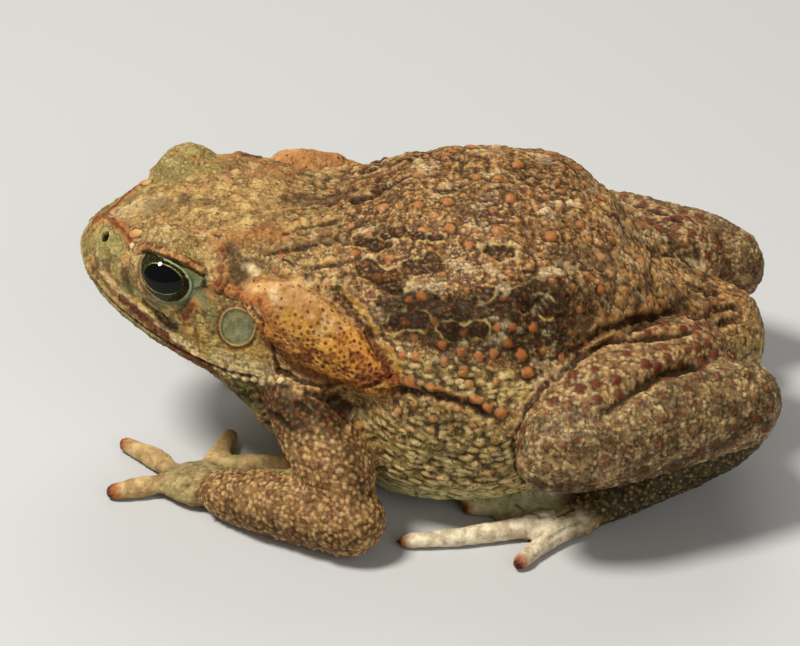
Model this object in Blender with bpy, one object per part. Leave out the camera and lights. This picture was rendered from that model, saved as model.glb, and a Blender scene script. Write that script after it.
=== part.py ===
"""Cane toad (Rhinella marina) sitting on the floor, life size, as a still model.

The toad faces -Y with its left side at +X and rests on the plane z = 0. Sizes below are in
millimetres and turn into metres where a mesh is made. The body is one smooth loft parted into
head, lower jaw and trunk, and each leg is a chain of swept segments that end against each other
with a thin clearance.
"""

import math

import bmesh
import bpy
import numpy as np

MM = 0.001
GAP = 0.34                # clearance between neighbouring pieces
BURY = 0.5                # how far a piece that rests on the floor dips before it is cut flat

# ---- body: each curve is (y, value), from the snout tip to the vent ----
SNOUT_Y = -70.0
VENT_Y = 80.8
TOP = ((-70, 48.0), (-69.2, 51.0), (-66.5, 53.6), (-61, 56.2), (-54, 58.4), (-47, 60.2), (-38, 61.4),
       (-28, 60.6), (-17, 58.8), (-8, 59.8), (4, 64.0), (16, 65.8), (27, 66.0), (36, 64.4), (44, 60.4),
       (52, 52.8), (60, 44.0), (67, 39.4), (74, 38.0), (78, 36.0), (80.2, 32.6), (80.8, 27.5))
BOTTOM = ((-70, 48.0), (-69.2, 45.8), (-66.5, 42.2), (-61, 37.8), (-54, 34.0), (-47, 31.0), (-38, 25.6),
          (-32, 17.0), (-26, 7.8), (-19, 3.2), (-11, 0.6), (-3, -BURY), (14, -BURY - 0.3), (28, 0.4),
          (42, 2.6), (52, 4.8), (60, 7.0), (67, 9.8), (74, 14.0), (79, 20.0), (80.8, 27.5))
HALF_WIDTH = ((-70, 0.0), (-69.2, 4.8), (-66.5, 9.6), (-61, 15.2), (-54, 20.2), (-47, 24.0), (-38, 27.2),
              (-31, 28.8), (-22, 31.4), (-11, 36.4), (0, 40.6), (12, 43.4), (24, 43.4), (36, 39.8),
              (48, 33.0), (58, 25.8), (67, 19.0), (74, 14.6), (78.2, 10.0), (80.2, 5.4), (80.8, 0.0))
WIDEST_Z = ((-70, 48.0), (-66.5, 44.8), (-61, 41.6), (-54, 38.8), (-47, 36.5), (-38, 34.2), (-28, 32.4),
            (-10, 28.0), (12, 25.0), (50, 24.0), (80.8, 27.5))
UPPER_POWER = ((-70, 2.0), (-64, 3.1), (-52, 4.1), (-36, 4.6), (-24, 3.0), (0, 2.4), (40, 2.2), (80.8, 2.0))
LOWER_POWER = ((-70, 2.0), (-44, 2.0), (-33, 2.8), (-12, 2.3), (7, 2.85), (22, 2.5), (60, 2.0), (80.8, 2.0))
BODY_RINGS = 32
BODY_SIDES = 30

# ---- head: symmetrical as drawn, then rolled a little so that its left side is the lower one ----
MOUTH = ((-74, 50.6), (-69, 47.4), (-65, 44.4), (-60, 42.0), (-52, 39.0), (-44, 36.2), (-36, 34.0),
         (-28, 32.4))
NECK_LOW = (-31.0, 22.0)  # (y, z) of the head's rear edge at the throat
NECK_HIGH = (-24.5, 60.0)
ROLL = math.radians(3.5)
ROLL_HEIGHT = 46.0        # the roll's axis runs along the head at this height
ROLL_FROM = -20.0         # the roll starts here and is whole at ROLL_WHOLE
ROLL_WHOLE = -40.0
EYE_CENTRE = (18.6, -48.7, 52.7)
EYE_RADIUS = 6.6
EYE_AIM = (0.89, -0.08, 0.45)
LID_CENTRE = (17.4, -48.4, 54.9)
LID_RADIUS = 8.4          # the skin's dome over the eyeball
OPENING_RADIUS = 5.2      # between the lids
OPENING_FLARE = 1.05      # how much wider the opening is at its outer end
OPENING_FROM = 1.0        # the opening's reach along the eye's aim, from the eyeball's centre
OPENING_TO = 11.0
EAR_CENTRE = (27.2, -33.6, 45.4)
EAR_FACING = (0.97, -0.18, 0.14)
EAR_RADIUS = 4.4
EAR_THICKNESS = 1.8
EAR_FLARE = 0.9
EYE_RINGS = 8
EAR_SIDES = 16
GLAND_STATIONS = 10

# ---- parotoid gland: knots are (x, y, z, radius across, radius along the skin) ----
GLAND = ((24.6, -31.5, 52.0, 3.4, 3.6), (28.2, -25.0, 49.0, 6.0, 8.0), (31.0, -18.0, 45.2, 6.6, 9.6),
         (35.0, -9.0, 41.0, 5.4, 7.2), (39.8, 1.4, 37.4, 2.6, 2.4))
GLAND_LEAN = (0.42, 0.0, 0.9)

# ---- legs: knots are (x, y, z, radius across, radius up), left side ----
UPPER_ARM = ((25, -23.0, 31.5, 8.4, 8.6), (33.4, -18.2, 26.0, 8.8, 8.8), (41.6, -12.4, 18.2, 8.2, 8.6),
             (47.0, -6.8, 11.0, 7.4, 8.2))
FOREARM = ((50.8, -1.8, 9.3, 6.8, 7.8), (46.0, -11.5, 8.9, 8.0, 8.6), (40.6, -23.0, 7.6, 7.5, 7.8),
           (35.2, -34.0, 5.7, 6.0, 6.0), (30.6, -41.6, 4.2, 4.8, 4.6))
PALM = ((33.0, -39.5, 4.0, 4.4, 3.8), (28.0, -43.0, 3.1, 7.0, 3.4), (22.6, -46.0, 2.3, 8.8, 2.8),
        (18.4, -48.0, 1.8, 6.2, 2.2))
FINGERS = {
    "inner": ((19.0, -39.8), (17.0, -31.0), (14.7, -21.4)),
    "second": ((18.6, -42.0), (11.0, -39.0), (2.7, -38.0)),
    "third": ((20.0, -50.0), (14.5, -55.5), (8.0, -63.2)),
    "outer": ((26.0, -51.5), (27.6, -57.5), (28.6, -64.2)),
}
FINGER_RADII = (3.0, 2.5, 1.8)

THIGH = ((13, 68, 30, 12.0, 11.5), (24, 59.5, 32.0, 12.8, 12.6), (35, 46, 32.2, 11.8, 12.4),
         (44.6, 33.5, 28.8, 8.6, 9.6), (48.6, 27.4, 27.6, 6.0, 6.6))
SHANK = ((50.4, 25.4, 27.6, 7.6, 8.8), (47.0, 38.0, 28.0, 8.8, 10.4), (41.4, 52.0, 29.0, 9.2, 11.4),
         (34.2, 67.0, 29.4, 8.8, 11.0), (27.4, 81.8, 28.2, 7.0, 8.8))
TARSUS = ((19.5, 79.5, 21.0, 5.0, 5.8), (22.0, 72.0, 13.6, 5.4, 6.2), (26.2, 58.0, 7.8, 5.6, 5.8),
          (31.6, 46.0, 4.4, 6.0, 4.6), (34.8, 38.0, 2.7, 5.8, 3.2))
WEB = ((32.9, 46.0, 2.0, 7.4, 2.4), (32.8, 36.0, 1.5, 10.0, 2.0), (35.2, 27.5, 1.0, 8.6, 1.5),
       (36.8, 22.0, 0.8, 5.0, 1.2))
TOES = {
    "first": ((28.5, 43.0), (25.8, 38.0), (24.0, 32.0)),
    "second": ((30.0, 37.5), (27.8, 30.0), (26.8, 21.5)),
    "third": ((32.0, 35.0), (32.0, 25.0), (31.6, 13.5)),
    "fourth": ((35.4, 37.0), (42.6, 18.0), (45.0, -0.8)),
    "fifth": ((36.2, 42.0), (43.0, 33.6), (54.0, 25.4)),
}
TOE_RADII = (2.8, 2.4, 1.8)

# ---- right side: the same segments mirrored, with the hand set further back and the leg a little wider ----
RIGHT_UPPER_ARM = ((25, -23, 31.5, 8.4, 8.6), (33.5, -17.5, 25.5, 9.4, 9.0), (42, -9.5, 18, 8.4, 8.6),
                   (47.8, -2.5, 11.0, 7.6, 8.2))
RIGHT_FOREARM = ((51.8, 3.4, 9.2, 7.2, 8.0), (48.8, -5.5, 8.8, 8.0, 8.6), (44.5, -15.5, 7.6, 7.6, 7.8),
                 (39.2, -24.5, 5.8, 5.8, 6.0), (35.0, -30.2, 4.2, 4.8, 4.6))
RIGHT_PALM = ((36.8, -27.0, 4.0, 4.2, 3.9), (33.0, -32.6, 3.1, 7.2, 3.4), (30.6, -36.6, 2.3, 8.0, 2.8),
              (29.0, -40.0, 1.8, 5.4, 2.3))
RIGHT_FINGERS = {
    "inner": ((28.5, -32.0), (23.0, -29.4), (16.5, -26.4)),
    "second": ((27.5, -37.0), (23.6, -39.8), (19.6, -40.6)),
    "third": ((30.5, -39.5), (30.6, -46.0), (32.2, -52.4)),
    "outer": ((35.0, -37.0), (38.8, -43.0), (41.6, -49.6)),
}
RIGHT_LEG_SHIFT = (0.3, 1.1, -1.1)

LEG_SIDES = 9
DIGIT_SIDES = 7
DIGIT_STATIONS = 6
FLOOR_CUT_SIZE = 400.0
FLOOR_CUT_DEPTH = 40.0


# ---------------------------------------------------------------- numbers and curves

def smooth_curve(knots, at):
    """Values of a curve through the knots, with no overshoot between them."""
    x, v = np.asarray(knots, float).T
    run = np.diff(x)
    slope = np.diff(v) / run
    tangent = np.zeros_like(v)
    same_way = slope[:-1] * slope[1:] > 0
    near, far = 2 * run[1:] + run[:-1], run[1:] + 2 * run[:-1]
    before, after = np.where(same_way, slope[:-1], 1), np.where(same_way, slope[1:], 1)
    tangent[1:-1] = np.where(same_way, (near + far) / (near / before + far / after), 0)
    tangent[0], tangent[-1] = slope[0], slope[-1]
    at = np.clip(np.asarray(at, float), x[0], x[-1])
    i = np.clip(np.searchsorted(x, at) - 1, 0, len(run) - 1)
    t = (at - x[i]) / run[i]
    start = (1 + 2 * t) * (1 - t) ** 2 * v[i] + t * (1 - t) ** 2 * run[i] * tangent[i]
    return start + t * t * (3 - 2 * t) * v[i + 1] + t * t * (t - 1) * run[i] * tangent[i + 1]


def rounded_steps(count):
    """Places from 0 to 1, closer together towards both ends."""
    return (1 - np.cos(np.linspace(0, math.pi, count))) / 2


def unit(vector):
    vector = np.asarray(vector, float)
    return vector / np.linalg.norm(vector)


def mirrored(knots):
    return tuple((-knot[0],) + tuple(knot[1:]) for knot in knots)


def moved(knots, shift):
    return tuple(tuple(np.add(knot[:3], shift)) + tuple(knot[3:]) for knot in knots)


# ---------------------------------------------------------------- meshes

def lofted(rings):
    """A closed bmesh over rings of equal count, whose first and last ring are single points."""
    bm = bmesh.new()
    first = bm.verts.new(rings[0])
    last = bm.verts.new(rings[-1])
    loops = [[bm.verts.new(point) for point in ring] for ring in rings[1:-1]]
    sides = len(loops[0])
    for k in range(sides):
        after = (k + 1) % sides
        bm.faces.new((first, loops[0][after], loops[0][k]))
        bm.faces.new((last, loops[-1][k], loops[-1][after]))
        for ring, following in zip(loops, loops[1:]):
            bm.faces.new((ring[k], ring[after], following[after], following[k]))
    bmesh.ops.recalc_face_normals(bm, faces=bm.faces)
    return bm


def swept(knots, stations, sides, lean=(0, 0, 1), grow=0.0):
    """A rounded tube of elliptical section along a curve through the knots."""
    knots = np.asarray(knots, float)
    length = np.concatenate([[0], np.cumsum(np.linalg.norm(np.diff(knots[:, :3], axis=0), axis=1))])
    at = rounded_steps(stations) * length[-1]
    path = np.stack([smooth_curve(np.stack([length, knots[:, k]], 1), at) for k in range(5)], 1)
    centres, radii = path[:, :3], path[:, 3:] + grow
    ahead = np.gradient(centres, axis=0)
    ahead /= np.linalg.norm(ahead, axis=1)[:, None]
    centres[0] -= ahead[0] * grow
    centres[-1] += ahead[-1] * grow
    from_start, from_end = at / radii[0].mean(), (at[-1] - at) / radii[-1].mean()
    nearest_end = np.clip(np.minimum(from_start, from_end), 0, 1)
    radii *= np.sqrt(1 - (1 - nearest_end) ** 2)[:, None]
    across = np.cross(ahead, unit(lean))
    across /= np.linalg.norm(across, axis=1)[:, None]
    upward = np.cross(across, ahead)
    angles = np.linspace(0, 2 * math.pi, sides, endpoint=False)
    rings = [centres[0]]
    for centre, (wide, tall), right, rise in zip(centres[1:-1], radii[1:-1], across[1:-1], upward[1:-1]):
        rings.append([centre + wide * math.cos(a) * right + tall * math.sin(a) * rise for a in angles])
    rings.append(centres[-1])
    return lofted(rings)


def body_ring(y, grow):
    """The body's outline at one place along it: two half superellipses that meet at its widest height."""
    top, bottom = smooth_curve(TOP, y) + grow, smooth_curve(BOTTOM, y) - grow
    half, middle = smooth_curve(HALF_WIDTH, y) + grow, smooth_curve(WIDEST_Z, y)
    upper, lower = smooth_curve(UPPER_POWER, y), smooth_curve(LOWER_POWER, y)
    ring = []
    for angle in np.linspace(0, 2 * math.pi, BODY_SIDES, endpoint=False):
        side, rise = math.cos(angle), math.sin(angle)
        power, height = (upper, top - middle) if rise > 0 else (lower, middle - bottom)
        reach = (abs(side) ** power + abs(rise) ** power) ** (-1 / power)
        ring.append((half * reach * side, y, middle + height * reach * rise))
    return ring


def roll_head(bm, all_over=False):
    """Turns the head about its long axis, fading out along the neck unless it is rolled all over."""
    for vert in bm.verts:
        part = min(max((ROLL_FROM - vert.co.y) / (ROLL_FROM - ROLL_WHOLE), 0), 1)
        angle = ROLL if all_over else ROLL * part * part * (3 - 2 * part)
        x, rise = vert.co.x, vert.co.z - ROLL_HEIGHT
        vert.co.x = x * math.cos(angle) + rise * math.sin(angle)
        vert.co.z = ROLL_HEIGHT + rise * math.cos(angle) - x * math.sin(angle)
    return bm


def body_mesh(grow=0.0):
    places = SNOUT_Y + rounded_steps(BODY_RINGS) * (VENT_Y - SNOUT_Y)
    rings = [(0, SNOUT_Y - grow, smooth_curve(TOP, SNOUT_Y))]
    rings += [body_ring(y, grow) for y in places[1:-1]]
    rings.append((0, VENT_Y + grow, smooth_curve(TOP, VENT_Y)))
    return roll_head(lofted(rings))


def prism(outline, half_width):
    """A block with the given (y, z) outline, the same from side to side."""
    bm = bmesh.new()
    near = [bm.verts.new((-half_width, y, z)) for y, z in outline]
    face = bm.faces.new(near)
    made = bmesh.ops.extrude_face_region(bm, geom=[face])["geom"]
    grown = [item for item in made if isinstance(item, bmesh.types.BMVert)]
    bmesh.ops.translate(bm, verts=grown, vec=(2 * half_width, 0, 0))
    bmesh.ops.recalc_face_normals(bm, faces=bm.faces)
    return bm


def ball(centre, radius, rings):
    bm = bmesh.new()
    bmesh.ops.create_uvsphere(bm, u_segments=2 * rings, v_segments=rings, radius=radius)
    bmesh.ops.translate(bm, verts=bm.verts, vec=centre)
    return bm


def disc(centre, facing, radius, flare, thickness, sides):
    """A short drum whose axis points the way it faces, with its outer end wider or narrower by the flare."""
    bm = bmesh.new()
    bmesh.ops.create_cone(
        bm, cap_ends=True, segments=sides, radius1=radius, radius2=radius * flare, depth=thickness)
    axis = unit(facing)
    across = unit(np.cross((0, 0, 1), axis))
    upward = np.cross(axis, across)
    for vert in bm.verts:
        x, y, z = vert.co
        vert.co = np.asarray(centre) + across * x + upward * y + axis * z
    return bm


# ---------------------------------------------------------------- objects

def material(name, colour, roughness):
    made = bpy.data.materials.new(name)
    made.use_nodes = True
    shader = made.node_tree.nodes["Principled BSDF"]
    shader.inputs["Base Color"].default_value = (*colour, 1)
    shader.inputs["Roughness"].default_value = roughness
    shader.inputs["Metallic"].default_value = 0.0
    return made


def place(name, bm, origin, parent):
    """An object with the mesh, its own origin at the given point, under the parent."""
    mesh = bpy.data.meshes.new(name)
    bmesh.ops.translate(bm, verts=bm.verts, vec=-np.asarray(origin, float))
    bmesh.ops.scale(bm, verts=bm.verts, vec=(MM, MM, MM))
    bm.to_mesh(mesh)
    bm.free()
    mesh.shade_smooth()
    mesh.set_sharp_from_angle(angle=math.radians(50))
    obj = bpy.data.objects.new(name, mesh)
    bpy.context.scene.collection.objects.link(obj)
    obj.location = np.asarray(origin, float) * MM
    obj.parent = parent
    return obj


def piece(name, bm, origin, parent, finish):
    obj = place(name, bm, origin, parent)
    obj.data.materials.append(finish)
    return obj


def guide(name, bm, parent):
    """A helper solid that only cuts."""
    obj = place(name, bm, (0, 0, 0), parent)
    obj.hide_render = True
    obj.display_type = "WIRE"
    return obj


def boolean(obj, other, operation):
    cut = obj.modifiers.new(f"{operation.lower()} {other.name}", "BOOLEAN")
    cut.operation = operation
    cut.solver = "EXACT"
    cut.object = other


def cut_by(obj, *guides):
    for other in guides:
        boolean(obj, other, "DIFFERENCE")


def empty(name, parent=None):
    obj = bpy.data.objects.new(name, None)
    bpy.context.scene.collection.objects.link(obj)
    obj.parent = parent
    return obj


# ---------------------------------------------------------------- materials

def head_skin():
    return material("head skin, tan", (0.36, 0.22, 0.10), 0.6)


def jaw_skin():
    return material("jaw skin, pale olive", (0.44, 0.36, 0.17), 0.6)


def back_skin():
    return material("back skin, brown", (0.22, 0.12, 0.06), 0.65)


def gland_skin():
    return material("gland skin, orange tan", (0.52, 0.27, 0.08), 0.5)


def leg_skin():
    return material("leg skin, grey tan", (0.30, 0.21, 0.11), 0.65)


def digit_skin():
    return material("digit skin, cream", (0.60, 0.47, 0.29), 0.55)


def ear_skin():
    return material("ear drum, grey green", (0.19, 0.21, 0.12), 0.5)


def eye_gloss():
    return material("eye, black green", (0.01, 0.016, 0.01), 0.05)


# ---------------------------------------------------------------- head and trunk

def neck_y(z):
    (low_y, low_z), (high_y, high_z) = NECK_LOW, NECK_HIGH
    return low_y + (high_y - low_y) * (z - low_z) / (high_z - low_z)


def mouth_line(offset):
    """The mouth's (y, z) points from in front of the snout back to the neck cut, moved up by the offset."""
    ends_at = neck_y(smooth_curve(MOUTH, NECK_LOW[0]))
    y = np.linspace(MOUTH[0][0], ends_at, 14)
    return [(place_y, float(smooth_curve(MOUTH, place_y)) + offset) for place_y in y]


def region_guides(toad):
    """Blocks that hold the head, the lower jaw and the trunk, a gap apart."""
    wide, high, low = 80, 90, -20
    half = GAP / 2
    front = MOUTH[0][0]
    upper, under = mouth_line(half), mouth_line(-half)
    upper[-1] = (upper[-1][0] - half, upper[-1][1])
    under[-1] = (under[-1][0] - half, under[-1][1])
    head = [*upper, (neck_y(high) - half, high), (front, high)]
    jaw = [*under, (neck_y(low) - half, low), (front, low)]
    trunk = [(neck_y(low) + half, low), (neck_y(high) + half, high), (VENT_Y + 10, high), (VENT_Y + 10, low)]
    outlines = {"head": head, "jaw": jaw, "trunk": trunk}
    blocks = {key: roll_head(prism(line, wide), all_over=True) for key, line in outlines.items()}
    return {key: guide(f"{key} region", block, toad) for key, block in blocks.items()}


def side_guides(toad, side):
    """The lid's dome of one side, and the hollows that the eye, ear and gland sit in."""
    flip = np.array((side, 1, 1))
    gland = GLAND if side > 0 else mirrored(GLAND)
    lean = np.multiply(GLAND_LEAN, flip)
    word = side_word(side)
    eye = ball(EYE_CENTRE * flip, EYE_RADIUS + GAP, EYE_RINGS)
    aim = unit(EYE_AIM * flip)
    middle = EYE_CENTRE * flip + aim * (OPENING_FROM + OPENING_TO) / 2
    opening = disc(middle, aim, OPENING_RADIUS, OPENING_FLARE, OPENING_TO - OPENING_FROM, EAR_SIDES)
    ear_depth = EAR_THICKNESS + 2 * GAP
    ear = disc(EAR_CENTRE * flip, EAR_FACING * flip, EAR_RADIUS + GAP, EAR_FLARE, ear_depth, EAR_SIDES)
    bulge = swept(gland, GLAND_STATIONS, LEG_SIDES, lean, GAP)
    return {
        "lid": guide(f"{word} lid dome", roll_head(ball(LID_CENTRE * flip, LID_RADIUS, EYE_RINGS)), toad),
        "eye": guide(f"{word} eye hollow", roll_head(eye), toad),
        "opening": guide(f"{word} lid opening", roll_head(opening), toad),
        "ear": guide(f"{word} ear hollow", roll_head(ear), toad),
        "gland": guide(f"{word} gland hollow", roll_head(bulge), toad),
    }


def side_word(side):
    return "left" if side > 0 else "right"


def make_body(toad, floor, hollows):
    """Head, lower jaw and trunk, all cut from the one body loft."""
    regions = region_guides(toad)
    origin = (0, NECK_LOW[0], float(smooth_curve(WIDEST_Z, NECK_LOW[0])))
    head = piece("head", body_mesh(), origin, toad, head_skin())
    jaw = piece("lower_jaw", body_mesh(), origin, toad, jaw_skin())
    trunk = piece("trunk", body_mesh(), (0, 0, 0), toad, back_skin())
    for hollow in hollows:
        boolean(head, hollow["lid"], "UNION")
    for obj, key in ((head, "head"), (jaw, "jaw"), (trunk, "trunk")):
        boolean(obj, regions[key], "INTERSECT")
    for hollow in hollows:
        cut_by(head, hollow["eye"], hollow["opening"], hollow["ear"], hollow["gland"])
        cut_by(trunk, hollow["gland"])
    cut_by(trunk, floor)


def make_face_side(toad, side, hollow, skins):
    """One side's eyeball, ear drum and parotoid gland."""
    flip = np.array((side, 1, 1))
    word = side_word(side)
    gland = GLAND if side > 0 else mirrored(GLAND)
    eye = roll_head(ball(EYE_CENTRE * flip, EYE_RADIUS, EYE_RINGS))
    piece(f"eye_{word}", eye, EYE_CENTRE * flip, toad, skins["eye"])
    ear = disc(EAR_CENTRE * flip, EAR_FACING * flip, EAR_RADIUS, EAR_FLARE, EAR_THICKNESS, EAR_SIDES)
    piece(f"eardrum_{word}", roll_head(ear), EAR_CENTRE * flip, toad, skins["ear"])
    bulge = roll_head(swept(gland, GLAND_STATIONS, LEG_SIDES, np.multiply(GLAND_LEAN, flip)))
    cut_by(piece(f"parotoid_{word}", bulge, gland[2][:3], toad, skins["gland"]), hollow["ear"])


# ---------------------------------------------------------------- legs

def digit_knots(places, radii):
    """Knots of a toe or finger that lies on the floor, from (x, y) places."""
    return tuple((x, y, radius - BURY, radius, radius) for (x, y), radius in zip(places, radii))


def make_chain(toad, word, segments, floor, body_guide):
    """Leg segments in order of who keeps its shape: each is cut by those made before it."""
    cutters = [body_guide, floor]
    for name, knots, stations, sides, finish in segments:
        obj = piece(f"{name}_{word}", swept(knots, stations, sides), knots[0][:3], toad, finish)
        cut_by(obj, *cutters)
        cutters.append(guide(f"{name} {word} clearance", swept(knots, stations, sides, grow=GAP), toad))


def make_foreleg(toad, side, floor, body_guide, skins):
    word = side_word(side)
    on_left = side > 0
    turn = tuple if on_left else mirrored
    arm, forearm, palm, fingers = (
        (UPPER_ARM, FOREARM, PALM, FINGERS) if on_left
        else (RIGHT_UPPER_ARM, RIGHT_FOREARM, RIGHT_PALM, RIGHT_FINGERS))
    segments = [
        ("forearm", turn(forearm), 11, LEG_SIDES, skins["leg"]),
        ("upper_arm", turn(arm), 10, LEG_SIDES, skins["leg"]),
        ("hand", turn(palm), 8, LEG_SIDES, skins["digit"]),
    ]
    for key, places in fingers.items():
        knots = digit_knots(places, FINGER_RADII)
        segments.append((f"finger_{key}", turn(knots), DIGIT_STATIONS, DIGIT_SIDES, skins["digit"]))
    make_chain(toad, word, segments, floor, body_guide)


def make_hind_leg(toad, side, floor, body_guide, skins):
    word = side_word(side)
    shift = (0, 0, 0) if side > 0 else RIGHT_LEG_SHIFT
    turn = tuple if side > 0 else mirrored
    segments = [
        ("shank", turn(moved(SHANK, shift)), 12, LEG_SIDES, skins["leg"]),
        ("thigh", turn(moved(THIGH, shift)), 11, LEG_SIDES, skins["leg"]),
        ("tarsus", turn(TARSUS), 10, LEG_SIDES, skins["leg"]),
        ("foot", turn(WEB), 9, LEG_SIDES, skins["digit"]),
    ]
    for key, places in TOES.items():
        knots = digit_knots(places, TOE_RADII)
        segments.append((f"toe_{key}", turn(knots), DIGIT_STATIONS, DIGIT_SIDES, skins["digit"]))
    make_chain(toad, word, segments, floor, body_guide)


# ---------------------------------------------------------------- whole toad

def floor_guide(toad):
    """A block whose top is the floor."""
    half = FLOOR_CUT_SIZE / 2
    outline = ((-half, 0), (half, 0), (half, -FLOOR_CUT_DEPTH), (-half, -FLOOR_CUT_DEPTH))
    return guide("floor", prism(outline, half), toad)


def centre_on_floor(toad):
    """Moves the toad so that the origin is under the middle of its box."""
    bpy.context.view_layer.update()
    graph = bpy.context.evaluated_depsgraph_get()
    corners = []
    for obj in bpy.context.scene.objects:
        if obj.type == "MESH" and not obj.hide_render:
            solid = obj.evaluated_get(graph)
            corners += [solid.matrix_world @ vert.co for vert in solid.data.vertices]
    points = np.array(corners)
    middle = (points.min(axis=0) + points.max(axis=0)) / 2
    toad.location = (-middle[0], -middle[1], 0)


def main():
    for obj in list(bpy.data.objects):
        bpy.data.objects.remove(obj)
    toad = empty("toad")
    floor = floor_guide(toad)
    skins = {
        "leg": leg_skin(), "digit": digit_skin(), "gland": gland_skin(), "ear": ear_skin(),
        "eye": eye_gloss()}
    hollows = [side_guides(toad, side) for side in (1, -1)]
    make_body(toad, floor, hollows)
    body_guide = guide("body clearance", body_mesh(GAP), toad)
    for side, hollow in zip((1, -1), hollows):
        make_face_side(toad, side, hollow, skins)
        make_foreleg(toad, side, floor, body_guide, skins)
        make_hind_leg(toad, side, floor, body_guide, skins)
        cut_by(bpy.data.objects[f"upper_arm_{side_word(side)}"], hollow["gland"])
    centre_on_floor(toad)


main()
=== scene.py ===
"""Looks of the still, life-size cane toad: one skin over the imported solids, the eyes, light and camera.

Lengths are millimetres in the frame's axes (the toad faces -Y, its left side is +X, the floor is z = 0)
and turn into metres where a mesh is made. A place written as (px, py) is a pixel of the 800 x 646
picture: seen() turns it into the point of the skin that the camera sees there.
"""

import math

import bmesh
import bpy
import numpy as np
from mathutils import Matrix, Vector
from mathutils.bvhtree import BVHTree
from mathutils.kdtree import KDTree


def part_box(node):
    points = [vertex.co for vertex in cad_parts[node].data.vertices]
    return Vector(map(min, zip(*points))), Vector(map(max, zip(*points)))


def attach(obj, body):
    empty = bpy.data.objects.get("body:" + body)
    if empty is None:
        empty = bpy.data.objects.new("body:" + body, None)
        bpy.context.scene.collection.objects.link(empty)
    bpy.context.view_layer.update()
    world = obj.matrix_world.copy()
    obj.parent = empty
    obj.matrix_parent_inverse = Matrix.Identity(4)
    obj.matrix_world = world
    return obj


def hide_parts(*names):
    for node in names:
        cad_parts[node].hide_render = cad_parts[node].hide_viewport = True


MM = 0.001
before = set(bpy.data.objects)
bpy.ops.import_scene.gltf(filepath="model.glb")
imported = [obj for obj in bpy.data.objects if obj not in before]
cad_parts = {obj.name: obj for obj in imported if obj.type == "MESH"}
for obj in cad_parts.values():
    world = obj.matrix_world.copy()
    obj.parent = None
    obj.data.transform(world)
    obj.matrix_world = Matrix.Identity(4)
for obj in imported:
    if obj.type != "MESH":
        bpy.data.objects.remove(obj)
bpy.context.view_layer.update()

# ---- picture ----
PICTURE_WIDTH, PICTURE_HEIGHT = 800, 646
CAMERA_AZIMUTH = math.radians(92)
CAMERA_ELEVATION = math.radians(31)
CAMERA_DISTANCE = 620.0
TARGET_FROM_VENT = 80.8   # the camera looks at this far in front of the vent
TARGET_HEIGHT = 29.0
LENS_MM, SENSOR_MM = 125.55, 36.0
FOCAL_PIXELS = LENS_MM / SENSOR_MM * PICTURE_WIDTH

# ---- skin mesh ----
BRIDGE = 0.30             # how far solids swell so that neighbours meet
JOIN_BRIDGE = BRIDGE * 0.8   # the same for the parts that they make
SHRINK = BRIDGE * 1.8     # how far the joined skin is drawn in again
PART_VOXEL = 0.8
SKIN_VOXEL = 0.75
PULL_IN, PUSH_OUT = 0.5, 0.52   # a round of smoothing shrinks by the first and swells by the second
BODY_ROUNDS, LIMB_ROUNDS, JOINED_ROUNDS = 100, 16, 8   # rounds of smoothing
LIDDED_ROUNDS, HEAD_ROUNDS = 4, 5
EYE_FILL = 7.1            # radius of the ball that fills each eye pocket before the lids are shaped
FILL_RINGS = 24
EYE_CALM = (9.0, 14.0)    # smoothing fades in between these distances from an eye's centre
EYE_WEIGHT = 0.15         # and this much of it is left next to the eye
FINE_LIMIT = 0.3          # skin that is at least this much head gets the finer mesh

# ---- head's lean ----
ROLL = math.radians(3.5)  # the head leans towards its left side by this angle
ROLL_RANGE = (20.0, 40.0)  # the lean grows between these distances in front of the middle
ROLL_HEIGHT = 46.0
FOLD_FROM = 12.0          # a feature further out than this from the middle is on both sides,
HEAD_FOLD_FROM = 3.0      # and so is one of the head that is further out than this
HEAD_FOLD_Y = -27.0

SIDES = ("left", "right")
FINGERS = ("inner", "second", "third", "outer")
TOES = ("first", "second", "third", "fourth", "fifth")


def nodes_of(*stems):
    """Node names of both sides for each stem, grouped by side."""
    return [[f"{stem}_{side}" for stem in stems] for side in SIDES]


BODY_NODES = ["head", "lower_jaw", "trunk", "eardrum_left", "eardrum_right"]
PARTS = [BODY_NODES]
PARTS += nodes_of("parotoid")
PARTS += nodes_of("upper_arm")
PARTS += nodes_of("forearm", "hand", *[f"finger_{name}" for name in FINGERS])
PARTS += nodes_of("thigh")
PARTS += nodes_of("shank")
PARTS += nodes_of("tarsus", "foot", *[f"toe_{name}" for name in TOES])
FLESH = [name for part in PARTS for name in part]


# ---- camera geometry ----

def middle_of(name):
    low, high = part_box(name)
    return np.array((low + high) / 2) / MM


def camera_axes():
    """Unit vectors to the picture's right, up it and back towards the camera."""
    a, e = CAMERA_AZIMUTH, CAMERA_ELEVATION
    back = np.array((math.sin(a) * math.cos(e), -math.cos(a) * math.cos(e), math.sin(e)))
    right = np.array((math.cos(a), math.sin(a), 0.0))
    return right, np.cross(back, right), back


def toad_middle():
    """The floor point that the toad's own coordinates start from."""
    low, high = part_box("trunk")
    return np.array(((low.x + high.x) / 2 / MM, high.y / MM - TARGET_FROM_VENT, 0.0))


RIGHT, UP, BACK = camera_axes()
MIDDLE = toad_middle()
CAMERA = MIDDLE + np.array((0, 0, TARGET_HEIGHT)) + BACK * CAMERA_DISTANCE


def ray(px, py):
    """Direction from the camera through a pixel."""
    way = RIGHT * (px - PICTURE_WIDTH / 2) + UP * (PICTURE_HEIGHT / 2 - py) - BACK * FOCAL_PIXELS
    return way / np.linalg.norm(way)


# ---- small mesh tools ----

def unit(vectors):
    vectors = np.asarray(vectors, float)
    return vectors / np.maximum(np.linalg.norm(vectors, axis=-1, keepdims=True), 1e-9)


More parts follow.
